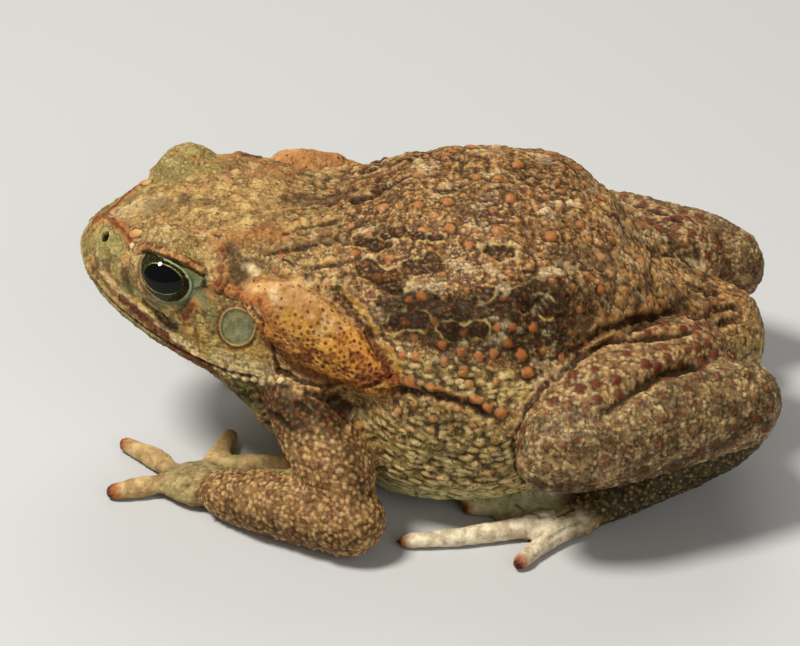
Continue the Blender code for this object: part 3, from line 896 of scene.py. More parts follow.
def head_marks():
    strokes(HEAD_LINES)
    strokes(HEAD_MARKS)
    for path in NECK_CREASES:
        # painted shade in the neck's creases
        stroke(path, 0.5, -0.4, "dusk", 0.7, wobble=0.7, soft=0.8, taper=0.3)
        stroke(shifted(path, 0, -5), 0.9, 0.22, "peach", 0.25, wobble=0.6, taper=0.3)
    for index, (px, py) in enumerate(LIP_BLOTCHES):
        stroke(((px - 2.4, py - 2), (px + 2.4, py + 2)), 1.1, 0, "maroon", 1.0, wobble=0.5, seed=20 + index)


def head_mottle():
    """Dark flecks that thicken towards the muzzle and the cheeks."""
    muzzle = fade(ALONG, -64, -52)
    side = ramp(OUT, 12, 18) * fade(LEVEL, 48, 54)
    front = np.maximum(muzzle, side)
    mottle("blotch", FACE * CALM * (0.3 + 0.5 * front), 2.6, 0.9, 0.7, 471, 0.25, 0.7)
    mottle("green", FACE * CALM * 0.7 * front, 3.0, 1.0, 0.7, 473, 0.0, 0.6)


def beads(warts, path, step, radius, height, paints):
    """A row of small bumps along a path of pixels."""
    place = 0.0
    for (ax, ay), (bx, by) in zip(path, path[1:]):
        length = math.hypot(bx - ax, by - ay)
        while place < length:
            t = place / length
            paint = paints[len(warts.rows) % len(paints)]
            warts.at(ax + t * (bx - ax), ay + t * (by - ay), radius, height, paint, 0.85)
            place += step
        place -= length


HEAD_SPOTS = (            # pixels, then radius, height, paint and strength
    (((136, 234),), 1.5, 0.65, "peach", 1),
    (((133, 246),), 0.75, 0.4, "cream", 1),
    (LIP_BUMPS, 0.55, 0.22, "cream", 0.8),
    (((263, 381), (272, 379), (281, 381), (236, 375), (246, 378), (229, 371), (254, 379)), 1, 0.45,
     "cream", 0.85),
    (((223, 291), (229, 289), (236, 295), (247, 298), (253, 303), (262, 304)), 0.55, 0.2, "maroon", 0.9),
    (((281, 256), (355, 254), (365, 264)), 1.1, 0.3, "rust", 0.9),
    (((230, 163), (236, 172), (224, 178), (206, 189), (219, 194), (236, 198)), 1.5, 0.45, "peach", 0.22),
)
BEADED = (                # path, step in pixels, radius, height and the paints in turn
    (BROW, 3.9, 0.5, 0.3, ("rust", "peach", "rust", "maroon", "cream")),
    (shifted(BROW[1:], -1, -4), 4.6, 0.45, 0.12, ("peach", "cream", "rust", "olive")),
    (REAR_CREST, 4.2, 0.6, 0.3, ("rust", "maroon", "rust", "maroon", "peach")),
    (EAR_CREST, 4.6, 0.62, 0.28, ("rust", "peach", "maroon", "peach", "rust")),
)


def head_warts(warts):
    for row in BEADED:
        beads(warts, *row)
    for places, *look in HEAD_SPOTS:
        for px, py in places:
            warts.at(px, py, *look)


def mouth_line():
    """The closed mouth: a fine groove where the jaw meets the head."""
    y, z = zip(*MOUTH)
    height = np.interp(ALONG, y, z)
    share = fade(ALONG, -32, -28) * ramp(FACE, 0.5, 0.7)
    gap = np.abs(LEVEL - height - 0.25 * ripple(5.0, 31))
    groove = fade(gap, 0.15, 0.75) * share
    LIFT[:] -= 0.4 * groove
    put("maroon", 0.6 * groove)
    lip = fade(np.abs(LEVEL - height - 1.3), 0.4, 1.2) * share
    LIFT[:] += 0.2 * lip
    put("peach", 0.35 * lip)


EAR_SHARE = (0.84, 1.0)   # the visible disc's part of its solid, along and up
EAR_PIXEL = (233, 326)
EAR_TURN = (-0.12, 0.12)  # how far the drum's face turns forwards and up
EAR_REACH = 9             # the drum is looked for this near its solid's middle
EAR_DEPTH = 4             # and no deeper than this under it


def eardrum():
    """The drum: a flat disc with a fine raised rim and a ditch; reach is 1 at the disc's edge."""
    centre = folded((middle_of("eardrum_left") - MIDDLE)[None])[0]
    low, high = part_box("eardrum_left")
    tall, long = (high.z - low.z) / 2 / MM, (high.y - low.y) / 2 / MM
    away = FOLDED - centre
    near = (np.linalg.norm(away, axis=1) < EAR_REACH) & (away[:, 0] > -EAR_DEPTH)
    reach = np.hypot(away[:, 1] / (long * EAR_SHARE[0]), away[:, 2] / (tall * EAR_SHARE[1]))
    reach = reach + 0.03 * ripple(2.5, 55)
    reach = np.where(near, reach, EAR_REACH)
    rim = band(reach, 0.92, 0.98, 1.01, 1.08)
    disc = fade(reach, 0.93, 0.99)
    ditch = band(reach, 1.02, 1.12, 1.18, 1.4)
    surface = seen(*EAR_PIXEL)
    level = folded(surface[None])[0]
    way = unit(np.array((1.0, *EAR_TURN)))
    height = (FOLDED - level) @ way
    flat = fade(reach, 1.0, 1.4) * (np.abs(height) < 5)
    LIFT[:] -= 0.85 * flat * np.clip(height, -1.5, 4)
    LIFT[:] += 0.08 * rim - 0.12 * disc - 0.2 * ditch + 0.09 * disc * ripple(1.1, 57)
    LIFT[:] -= 0.2 * disc * fade(reach, 0.1, 0.6)
    streaks = wave(POINTS * (1, 2.2, 0.8), 1.2, 58)
    put("outline", 0.4 * disc * ramp(ripple(0.8, 59), 0.0, 0.7))
    put("green", 0.4 * rim)
    put("maroon", 0.35 * ditch + 0.45 * ditch * ramp(-away[:, 2] - away[:, 1], -4, 4))
    put("dusk", 0.45 * disc * ramp(streaks, -0.1, 0.8))
    PAINT["drum_disc"] = disc
    PAINT["ear"] = fade(reach, 1.15, 1.3)
    CALM[:] *= 1 - 0.8 * disc


# ---- gland ----

GLAND_FRONT = ((252, 309), (263, 323), (271, 345), (279, 371))
GLAND_LOW = ((281, 370), (300, 381), (325, 388), (350, 386), (377, 384))
GLAND_REAR = ((337, 292), (350, 310), (364, 327), (374, 344), (383, 362), (390, 375))
GLAND_MARKS = (
    # painted shade in the grooves along the gland's front, lower and rear edges
    (GLAND_FRONT, 0.7, -0.5, "dark", 0.8, 0.3),
    (GLAND_LOW, 0.6, -0.45, "dark", 0.75, 0.3),
    (GLAND_REAR, 0.8, -0.35, "dark", 0.7, 0.8),
    (GLAND_REAR[2:], 1.1, 0, "maroon", 0.5, 0.9),
    (shifted(GLAND_REAR, 8, -4), 0.8, 0.2, "gold", 0.5, 1.1),
    (((250, 291), (275, 287), (300, 284)), 1.6, 0.2, "peach", 0.85, 0.5),
    (((300, 292), (322, 302), (345, 322)), 2.6, 0, "peach", 0.5, 1.2),
    (((276, 350), (300, 368), (335, 380), (378, 382)), 1.5, 0, "maroon", 0.7, 1.6),
    (((290, 318), (320, 340), (352, 362)), 2, 0, "gold", 0.6, 1.8),
    (((262, 312), (276, 330), (284, 350)), 1.2, 0, "rust", 0.6, 1.4),
    (((345, 350), (368, 372)), 2.2, 0, "rust", 0.5, 1.2),
)


def gland_lines():
    strokes(GLAND_MARKS)
    low = fade(LEVEL + 1.5 * ripple(3.0, 68), 43, 53)
    flecks = ripple(1.25, 63) + 0.6 * ripple(0.62, 64)
    rows = wave(POINTS * (1, 0.55, 1.5), 2.6, 65)
    put("pore", 0.95 * GLAND * low * ramp(flecks + 0.7 * rows, 0.1, 0.45) * (1 - PAINT["ear"]))
    mottle("cream", 0.55 * GLAND * (1 - low), 3.6, 1.3, 0.5, 66, 0.15, 0.8)
    pits = 0.22 * low * ramp(flecks, 0.0, 0.6)
    LIFT[:] += GLAND * (0.3 * ripple(4.5, 61) + 0.18 * ripple(2.2, 62) - pits)


def gland_warts(warts):
    low = fade(LEVEL, 44, 54) * (1 - PAINT["ear"])
    thick = ramp(ripple(3.2, 74), -0.75, 0.1)
    warts.scatter_all((
        (low * thick * (GLAND > 0.5), (0.85, 1.5), (0.26, 0.58), -0.22, "pore", 1.0, 71),
        (0.4 * low * (GLAND > 0.4), (1.6, 3.0), (0.3, 0.55), 0.3, "maroon", 0.8, 75),
        (0.6 * (GLAND > 0.5), (1.9, 3.6), (0.26, 0.44), -0.25, "pore", 0.8, 73),
        (0.5 * (GLAND > 0.5), (2.2, 3.5), (0.5, 0.9), 0.25, "peach", 0.45, 72),
    ))


# ---- back and flanks ----

# two pixels and the half width of the stroke between them
PATCHES = ((360, 240, 380, 246, 1.7), (388, 234, 402, 232, 1.9), (412, 237, 438, 236, 1.0),
           (410, 268, 436, 262, 2.2), (368, 272, 396, 284, 2.3), (397, 322, 418, 322, 2.1),
           (490, 251, 506, 252, 1.6), (446, 332, 481, 330, 1.8), (692, 289, 711, 291, 1.7),
           (484, 293, 487, 293, 1.6), (368, 190, 403, 180, 1.2), (440, 190, 452, 188, 1.1),
           (604, 216, 618, 220, 1.3), (655, 252, 672, 256, 1.4), (520, 300, 545, 306, 1.7))
PALE = ((416, 160, 427, 174, 1.5), (533, 156, 544, 164, 1.6), (406, 288, 442, 283, 1.3),
        (490, 268, 496, 272, 1.0), (540, 275, 566, 268, 1.3), (500, 287, 506, 292, 0.9),
        (364, 230, 376, 228, 0.9), (540, 209, 550, 215, 1.3), (470, 226, 486, 226, 0.9),
        (616, 278, 616, 280, 0.7), (530, 386, 545, 378, 1.0), (555, 372, 566, 365, 0.8),
        (640, 236, 662, 240, 1.4), (690, 262, 702, 268, 1.1), (622, 258, 640, 266, 0.9),
        (556, 205, 576, 204, 1.0), (455, 262, 470, 270, 1.0), (488, 176, 500, 172, 0.9))
GRANULES = ((385, 362), (420, 368), (462, 376), (500, 388), (522, 392))
GRANULE_REACH = 8
# a wart's pixel and its radius in pixels
BACK_WARTS = ((336, 205, 6), (384, 210, 7), (419, 209, 6), (447, 201, 7), (399, 232, 5), (422, 231, 5),
              (450, 228, 6), (497, 231, 7), (510, 199, 7), (469, 245, 6), (550, 236, 7), (477, 177, 6),
              (518, 166, 7), (378, 279, 6), (421, 296, 6), (408, 299, 4), (521.6, 355, 7),
              (527.5, 373, 7), (406, 321.6, 6), (464.8, 332.7, 5), (511.8, 327.5, 4), (532, 328, 5),
              (496.8, 328, 4), (493.5, 353.6, 5), (479, 356, 5), (461.5, 352.3, 5), (442.5, 345, 5),
              (445, 361.4, 5), (463.5, 371.2, 6), (469.3, 383.7, 5), (580, 225, 6), (610, 240, 6),
              (640, 262, 6), (600, 290, 5), (650, 300, 6), (560, 190, 6), (600, 200, 5), (640, 225, 6),
              (675, 262, 5), (700, 275, 5))
FOLD_WARTS = ((410.5, 379.7, 7), (431, 387, 6), (440, 389, 5), (476, 399.3, 7), (486.3, 407, 6),
              (501.4, 411, 6), (391, 350, 5), (403, 355, 5), (416, 356, 5), (386, 372, 6), (394, 381, 6))
SIDE_FOLDS = (((370, 389), (402.7, 389), (422, 391.5), (446, 396.7), (469, 404.6), (494, 417.6)),
              ((543, 387), (570, 366), (602, 346), (643, 340), (684, 334), (721, 324), (748, 318)),
              ((560, 362), (600, 330), (640, 318), (680, 312)),
              ((301, 391.5), (339, 399), (352.5, 414.4)),
              ((688, 322), (718, 310), (742, 303)))
SHADES = (                # path, half width and strength
    (((436, 322), (500, 336), (560, 326), (630, 314), (700, 308)), 4.8, 1.0),
    (((400, 318), (440, 326), (500, 330), (548, 322)), 4.8, 1.0),
    (((545, 300), (620, 318), (690, 312)), 5.0, 1.0),
    (((395, 305), (450, 312), (520, 305)), 3.8, 1.0),
    (((246, 394), (290, 414), (340, 412)), 4.6, 0.95),
    (((270, 425), (292, 440)), 3.0, 0.35),
    (((540, 486), (620, 484), (700, 455), (762, 415)), 2.6, 0.7),
    (((350, 440), (362, 500)), 2.5, 0.6),
    (((230, 510), (290, 535), (345, 545)), 2.2, 0.55),
    (((470, 200), (560, 170), (600, 190)), 5.0, 0.3),
    (((600, 440), (650, 452), (700, 430)), 2.0, 0.35),
    (((275, 157), (345, 160)), 3.2, 0.5),
)
THROAT_FOLDS = (((244, 400), (272, 414), (300, 434)), ((252, 416), (276, 430)),
                ((262, 394), (300, 404), (338, 432)), ((300, 396), (322, 408)))
FOOT_CREASES = (((596, 506), (568, 511), (548, 522)), ((592, 516), (560, 530), (536, 548)),
                ((474, 524), (540, 517), (596, 506)), ((190, 474), (214, 470)), ((176, 486), (206, 482)))
KNEE_CREASE = ((592, 425), (602, 414), (617, 402), (640, 387), (667, 373), (700, 365), (740, 361))
HIP_CREASE = ((546, 384), (530, 405), (521, 425), (514, 445), (516, 465), (524, 482))
SCALE = 4.65              # pixels to a millimetre on the near side
BACK_MARKS = (
    (((560, 258), (610, 256)), 3, -0.1, "dusk", 0.8, 0.9, 0.2),
    (((362, 279), (399, 276)), 0.9, 0.5, "rust", 0.7),
    # painted shade in the dip behind the far gland
    (((358, 199), (384, 191), (408, 177)), 1.7, -1.1, "dark", 1, 0.5),
    (((346, 187), (372, 178), (400, 165)), 2, 1, "maroon", 0.35, 0.5),
    # painted shade in a short crease at the shoulder
    (((333, 402), (347, 416)), 1, -0.8, "dark", 0.95),
    # painted shade in the hip and knee creases
    (HIP_CREASE, 0.7, -0.4, "dark", 0.7, 0.3),
    (KNEE_CREASE, 1.4, -0.9, "dusk", 0.6, 0.5, 0.9, 1, 0.12),
    (KNEE_CREASE, 0.65, -0.4, "dark", 0.9, 0.5, 0.9, 1, 0.12),
    (((272, 160), (300, 158), (338, 161)), 2.8, 0, "rust", 0.6, 1.6, 0.7),
)


def back_marks():
    """Blotches, pale flecks, folds and shadows of the trunk and the legs."""
    for index, (ax, ay, bx, by, width) in enumerate(PATCHES):
        patch(((ax, ay), (bx, by)), width, 100 + 5 * index)
    for path in FOOT_CREASES:
        # painted shade in the creases of the feet and the hand
        stroke(path, 0.5, -0.25, "dusk", 0.3, wobble=0.3, soft=0.9, taper=0.35)
    for index, (ax, ay, bx, by, width) in enumerate(PALE):
        stroke(((ax, ay), (bx, by)), width, 0.12, "cream", 0.75, wobble=0.8, seed=200 + index)
    strokes(BACK_MARKS)
    for index, (path, width, share) in enumerate(SHADES):
        stroke(path, width, 0, "shade", share, wobble=2.4, soft=0.6, seed=8 + index)
    near, away, _ = path_gap(GRANULES, GRANULE_REACH)
    ragged = away + 1.5 * wave(POINTS[near], 3.0, 451)
    PAINT["granules"][near] = fade(ragged, 2.0, 5.0) * TRUNK[near]
    PAINT["shade"] *= 1 - 0.9 * PAINT["granules"]
    for index, path in enumerate(THROAT_FOLDS):
        # painted shade in the throat's folds
        stroke(path, 0.7, -0.7, "dark", 0.8, wobble=0.6, soft=0.8, seed=30 + index, taper=0.3)
    for path in SIDE_FOLDS:
        # painted shade in the folds along the side and over the thigh
        stroke(path, 0.85, -0.9, "dark", 0.95, wobble=0.55, soft=0.8, taper=0.1)
        stroke(shifted(path, 0, -6), 1.2, 0.4, "rust", 0.25, wobble=0.6, soft=0.8, taper=0.3)
    shank = SHANK * ramp(HEIGHT, 4, 12)
    top = TRUNK * ramp(HEIGHT, 34, 44)
    mottle("blotch", 0.75 * shank, 3.4, 1.2, 0.45, 441, 0.15, 0.5)
    mottle("blotch", 0.4 * THIGH, 4.0, 1.2, 0.4, 443, 0.3, 0.7)
    mottle("cream", 0.5 * top, 3.6, 1.1, 0.6, 445, 0.42, 0.85)
    mottle("blotch", 0.6 * top, 4.4, 1.3, 0.6, 447, 0.35, 0.7)
    rear = top * ramp(ALONG, 34, 50)
    put("peach", 0.55 * rear * ramp(ripple(2.2, 449), -0.5, 0.4))
    wrinkles()


def wrinkles():
    """Winding creases over the trunk and the limbs, with painted shade in them."""
    limbs = 0.35 * (THIGH + SHANK) + 0.15 * ARM
    rows = ((TRUNK, (1, 0.8, 1), 6.5, 421), (TRUNK, (1, 1.3, 0.7), 9.0, 422),
            (limbs, (1, 1, 1), 6.0, 423), (0.7 * THIGH, (1, 0.45, 1.7), 2.6, 424))
    for share, stretch, size, seed in rows:
        course = wave(POINTS * stretch, size, seed) + 0.25 * ripple(2.0, seed + 10)
        broken = ramp(ripple(11.0, seed + 20), -0.5, 0.4)
        crease = fade(np.abs(course), 0.0, 0.24) * share * broken
        # the creases are sunk and get painted shade
        LIFT[:] -= 0.4 * crease * CALM
        put("dusk", 0.45 * crease)


def back_warts(warts):
    for rows, tall, strength in ((BACK_WARTS, 0.62, 0.9), (FOLD_WARTS, 0.6, 1.0)):
        for px, py, size in rows:
            warts.at(px, py, size / SCALE, tall * size / SCALE, "rust", strength)
    back = TRUNK * ramp(HEIGHT, 24, 36)
    crown = HEAD * 0.5 * ramp(LEVEL, 48, 54)
    thigh = THIGH * ramp(HEIGHT, 8, 16) * (PAINT["dark"] < 0.25)
    warts.scatter_all((
        (back, (3.6, 6.0), (0.7, 1.25), 0.5, "rust", 0.65, 81),
        (0.8 * back, (1.9, 3.0), (0.4, 0.75), 0.5, "maroon", 0.7, 82),
        (0.3 * back, (2.2, 3.6), (0.4, 0.7), 0.5, "cream", 0.45, 87),
        (crown, (2.2, 3.6), (0.35, 0.6), 0.4, "peach", 0.4, 83),
        (thigh, (2.4, 3.2), (0.8, 1.2), 0.5, "wart", 1.4, 84),
        (SHANK * ramp(HEIGHT, 6, 12), (2.8, 4.4), (0.7, 1.3), 0.3, "maroon", 0.9, 85),
        (0.7 * SHANK, (1.6, 2.8), (0.4, 0.7), 0.4, "cream", 0.5, 89),
        (REGION["tarsus"] + REGION["foot"], (1.8, 3.2), (0.4, 0.8), 0.35, "olive", 0.3, 90),
        (ARM, (1.7, 2.5), (0.5, 0.8), 0.45, "wart", 0.95, 86),
        (DOME, (0.9, 1.5), (0.3, 0.48), 0.35, "cream", 0.6, 91),
    ))


# ---- grains all over ----

FLANK_MIDDLE = (455, 352)   # the flank's rows of grains hang round this pixel
FLANK_RADIUS = 18.0


def flank_share():
    return TRUNK * fade(HEIGHT, 26, 40)


def hammock():
    """Flank coordinates in which rows of grains run round its middle."""
    middle = folded(seen(*FLANK_MIDDLE)[None])[0]
    dy, dz = ALONG - middle[1], LEVEL - middle[2]
    around = np.arctan2(dy, -dz) * FLANK_RADIUS
    return np.stack((around / 1.1, np.hypot(dy, dz) / 0.82, OUT / 1.1), 1)


def add_grains(share, field, size, height, seed, tone=1.0):
    """Grains of one size where a region has its share; a lower tone makes more of them pale."""
    near = np.flatnonzero(share > 0.03)
    dome, number = grains(field[near], size, seed)
    tall = dome * (0.45 + 0.55 * number)
    LIFT[near] += height * share[near] * CALM[near] * (1 - 0.8 * COVER[near]) * tall
    weight = share[near]
    PAINT["relief"][near] += weight * (dome * CALM[near] + 0.5 * (1 - CALM[near]) - 0.5)
    PAINT["grain"][near] += weight * (tone * number - 0.5)


def all_grains():
    """Fine grains over each region in its own size, with lumps and broad swellings under them."""
    granules = PAINT["granules"]
    flank = flank_share()
    top = (TRUNK - flank) * (1 - granules)
    flank = flank * (1 - granules)
    open_flank = 1 - 0.5 * fade(HEIGHT, 5, 13)
    rows = flank * band(ALONG, -24, -14, 44, 56)
    leg = SHANK + REGION["tarsus"] + REGION["foot"]
    warped = POINTS + 0.5 * np.stack([ripple(3.0, seed) for seed in (41, 42, 43)], 1)
    for row in ((FACE + REGION["drum"] * 0.3, warped, 0.95, 0.2, 301),
                (granules, warped * (1.0, 0.7, 1.15), 1.5, 0.62, 318, 0.75),
                (GLAND, warped, 1.1, 0.24, 302),
                (top, warped, 0.85, 0.27, 303),
                (rows * open_flank, hammock(), 1.85, 0.68, 304, 0.8),
                ((flank - rows) * open_flank, warped, 1.5, 0.4, 315),
                (ARM, warped, 1.2, 0.5, 305),
                (REGION["hand"], warped, 1.2, 0.22, 316),
                (THIGH, warped, 1.15, 0.4, 306),
                (leg, warped, 1.05, 0.32, 307),
                (DIGITS, warped, 0.9, 0.12, 308)):
        add_grains(*row)
    LIFT[:] += 0.16 * FACE * CALM * (1 - COVER) * grains(warped, 1.9, 317)[0]
    LIFT[:] += 0.42 * top * (1 - 0.6 * COVER) * grains(warped, 2.7, 314)[0]
    limbs = 0.5 * (THIGH + SHANK + ARM)
    for size, height, seed in ((11.0, 1.0, 311), (5.0, 0.45, 312)):
        LIFT[:] += height * (TRUNK + limbs) * CALM * ripple(size, seed)
    LIFT[:] += 0.12 * CALM * ripple(1.9, 313)


def digit_tips():
    """Darker ends of fingers and toes."""
    limbs = [("hand", f"finger_{name}") for name in FINGERS] + [("foot", f"toe_{name}") for name in TOES]
    for side in SIDES:
        for limb, digit in limbs:
            ends = points_of(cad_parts[f"{digit}_{side}"].data)
            reach = np.linalg.norm(ends - middle_of(f"{limb}_{side}"), axis=1)
            end = ends[np.argmax(reach)] - MIDDLE
            away = np.linalg.norm(POINTS - end, axis=1) + 0.3 * ripple(1.2, 401)
            put("tip", fade(away, 2.8, 5.6) * DIGITS)
            put("nail", fade(away, 2.0, 3.4) * DIGITS)
    stroke(((486, 503), (550, 506)), 2.6, 0, "green", 0.8, 0.5)
    stroke(((236, 432), (232, 462), (292, 468)), 1.8, 0, "green", 0.55, 0.5)


CREST_ROUNDS = 12         # hollows and crests are told apart over this many rounds of blur
CREST_SPAN = 0.45         # mm from the deepest hollow to the highest crest


def build_skin():
    """Works out every mark, wart and grain, and moves the skin's vertices by them."""
    paint_lids()
    mouth_line()
    eardrum()
    head_marks()
    head_mottle()
    gland_lines()
    back_marks()
    warts = Warts()
    head_warts(warts)
    gland_warts(warts)
    back_warts(warts)
    LIFT[:] += warts.raise_all()
    all_grains()
    digit_tips()
    dots = ramp(PAINT["relief"], 0.45, 0.75)
    on_trunk = 1 - TRUNK
    PAINT["cream"] *= on_trunk + (1 - on_trunk) * (0.5 + 0.5 * dots)
    PAINT["dark"] *= 1 - 0.35 * TRUNK * dots
    # crest is 0.5 where the skin is level with its blurred self, lower in hollows and higher on crests; the
    # material paints shade in the hollows and light on the crests
    sunk = blurred(LIFT, edges_of(skin_mesh), CREST_ROUNDS) - LIFT
    span = CREST_SPAN * (1 - 0.3 * HEAD - 0.3 * JAW)
    PAINT["crest"] = np.clip(0.5 - sunk / span, 0, 1)
    set_points(skin_mesh, POINTS + MIDDLE)
    points = POINTS + normals_of(skin_mesh) * LIFT[:, None]
    set_points(skin_mesh, on_floor(points) + MIDDLE)
    for name, values in PAINT.items():
        store(skin_mesh, name, values)


build_skin()


# ---- materials ----

def linear(colour):
    """An sRGB colour of 0..255 as the shader's linear values."""
    channels = np.array(colour) / 255
    bright = ((channels + 0.055) / 1.055) ** 2.4
    return (*np.where(channels <= 0.04045, channels / 12.92, bright).tolist(), 1.0)


class Paint:
    """One node material, built colour layer by colour layer; a colour is sRGB of 0..255 or a socket."""

    def __init__(self, name):
        self.material = bpy.data.materials.new(name)
        self.material.use_nodes = True
        self.tree = self.material.node_tree
        self.shader = self.tree.nodes["Principled BSDF"]
        self.place = self.node("ShaderNodeTexCoord").outputs["Object"]
        self.masks = {}
        self.colour = None

    def node(self, kind, **values):
        made = self.tree.nodes.new(kind)
        for key, value in values.items():
            setattr(made, key, value)
        return made

    def feed(self, socket, value):
        if isinstance(value, bpy.types.NodeSocket):
            self.tree.links.new(value, socket)
        else:
            socket.default_value = linear(value) if isinstance(value, tuple) else value

    def into(self, name, value):
        """Feeds one of the shader's own sockets."""
        self.feed(self.shader.inputs[name], value)

    def mask(self, name):
        if name not in self.masks:
            self.masks[name] = self.node("ShaderNodeAttribute", attribute_name=name).outputs["Fac"]
        return self.masks[name]

    def texture(self, kind, size):
        made = self.node(kind)
        self.feed(made.inputs["Vector"], self.place)
        made.inputs["Scale"].default_value = 1 / (size * MM)
        return made

    def noise(self, size, detail=3.0):
        made = self.texture("ShaderNodeTexNoise", size)
        made.inputs["Detail"].default_value = detail
        return made.outputs["Fac"]

    def spots(self, size):
        """Distance to the middle of round cells."""
        return self.texture("ShaderNodeTexVoronoi", size).outputs["Distance"]

    def span(self, value, start, end, low=0.0, high=1.0):
        made = self.node("ShaderNodeMapRange", interpolation_type="SMOOTHSTEP")
        names = ("Value", "From Min", "From Max", "To Min", "To Max")
        for name, given in zip(names, (value, start, end, low, high)):
            self.feed(made.inputs[name], given)
        return made.outputs["Result"]

    def math(self, operation, first, second):
        made = self.node("ShaderNodeMath", operation=operation)
        self.feed(made.inputs[0], first)
        self.feed(made.inputs[1], second)
        return made.outputs[0]

    def times(self, *values):
        result = values[0]
        for value in values[1:]:
            result = self.math("MULTIPLY", result, value)
        return result

    def mix(self, share, first, second):
        made = self.node("ShaderNodeMix", data_type="RGBA")
        for slot, value in ((0, share), (6, first), (7, second)):
            self.feed(made.inputs[slot], value)
        return made.outputs[2]

    def coat(self, share, tint):
        """Lays a tint over the colour so far."""
        self.colour = self.mix(share, self.colour, tint)


# lighter and darker tone of each coat, mixed by noise, from the lowest coat to the top one; the top coat,
# shade, is painted shade
BACK_TINTS = ((142, 100, 54), (66, 42, 22))
REGION_TINTS = (
    ("fore", (166, 130, 74), (108, 80, 42)),
    ("jaw", (146, 124, 68), (92, 76, 40)),
    ("cheek", (178, 152, 84), (124, 100, 50)),
    ("flank", (172, 150, 90), (94, 76, 40)),
    ("belly", (206, 200, 142), (160, 152, 98)),
    ("gland", (186, 130, 56), (136, 82, 30)),
    ("gland_top", (162, 120, 70), (124, 86, 48)),
    ("arm", (162, 124, 74), (102, 74, 42)),
    ("thigh", (158, 124, 80), (100, 72, 42)),
    ("shank", (144, 116, 76), (84, 68, 42)),
    # the tarsus's dark tone is partly its own colour and partly painted shade from under the shank
    ("tarsus", (68, 61, 38), (34, 31, 18)),
    ("hand", (160, 142, 94), (114, 98, 60)),
    ("foot", (146, 130, 90), (84, 76, 48)),
    ("finger", (196, 166, 114), (146, 116, 72)),
    ("toe", (222, 208, 178), (160, 142, 112)),
    ("shade", (58, 44, 25), (28, 21, 12)),
)
MARKS = (                 # mask, colour and greatest share, in the same order
    ("drum_disc", (114, 122, 88), 0.95), ("lid", (88, 110, 82), 0.95), ("olive", (128, 118, 64), 0.85),
    ("mint", (164, 190, 144), 0.95), ("green", (124, 130, 76), 0.8), ("dusk", (62, 46, 30), 0.8),
    ("peach", (204, 158, 98), 0.8), ("gold", (186, 144, 56), 0.8), ("cream", (216, 192, 144), 0.85),
    ("rust", (154, 88, 40), 0.9), ("outline", (184, 156, 92), 0.8), ("blotch", (60, 42, 26), 0.85),
    ("dark", (34, 22, 12), 0.95), ("maroon", (84, 36, 18), 1.0), ("wart", (94, 44, 24), 1.0),
    ("tip", (150, 80, 32), 1.0), ("nail", (60, 20, 10), 1.0), ("pore", (96, 38, 16), 0.95),
)
NOSTRIL_TINT = (12, 6, 4)
HOLLOW_SHADE_TINT = (40, 27, 16)
BUMP_STRENGTH, BUMP_HEIGHT = 0.55, 0.18


def skin_material():
    paint = Paint("toad_skin")
    broad = paint.span(paint.noise(9.0), 0.38, 0.62)
    middling = paint.span(paint.noise(2.4), 0.36, 0.64)
    fine = paint.span(paint.noise(0.7), 0.35, 0.65)
    uneven = paint.math("MAXIMUM", paint.times(broad, 0.7), paint.times(middling, 0.6))
    paint.colour = paint.mix(uneven, *BACK_TINTS)
    for name, light, shade in REGION_TINTS:
        paint.coat(paint.mask(name), paint.mix(paint.times(middling, 0.8), light, shade))
    coat_texture(paint)
    for name, tint, share in MARKS:
        worn = paint.span(fine, 0.0, 1.0, share * 0.74, share)
        paint.coat(paint.times(paint.mask(name), worn), tint)
    paint.coat(paint.mask("nostril"), NOSTRIL_TINT)
    # painted shade in the hollows between grains, warts and folds
    paint.coat(paint.times(paint.span(paint.mask("crest"), 0.5, 0.2), 0.7), HOLLOW_SHADE_TINT)
    paint.into("Base Color", paint.colour)
    rough = paint.math("ADD", paint.times(middling, 0.5), paint.times(fine, 0.5))
    rough = paint.span(rough, 0.1, 0.9, 0.42, 0.64)
    paint.into("Roughness", paint.math("SUBTRACT", rough, paint.times(paint.mask("lid"), 0.15)))
    dull = paint.times(paint.math("MAXIMUM", paint.mask("dark"), paint.mask("shade")), 0.6)
    dull = paint.math("MAXIMUM", paint.mask("nostril"), dull)
    paint.into("Specular IOR Level", paint.span(dull, 0.0, 1.0, 0.15, 0.0))
    bump = paint.node("ShaderNodeBump")
    bump.inputs["Strength"].default_value = BUMP_STRENGTH
    bump.inputs["Distance"].default_value = BUMP_HEIGHT * MM
    height = paint.math("ADD", paint.noise(0.45, 2.0), paint.times(paint.spots(0.6), -0.6))
    paint.feed(bump.inputs["Height"], height)
    paint.into("Normal", bump.outputs["Normal"])
    return paint.material


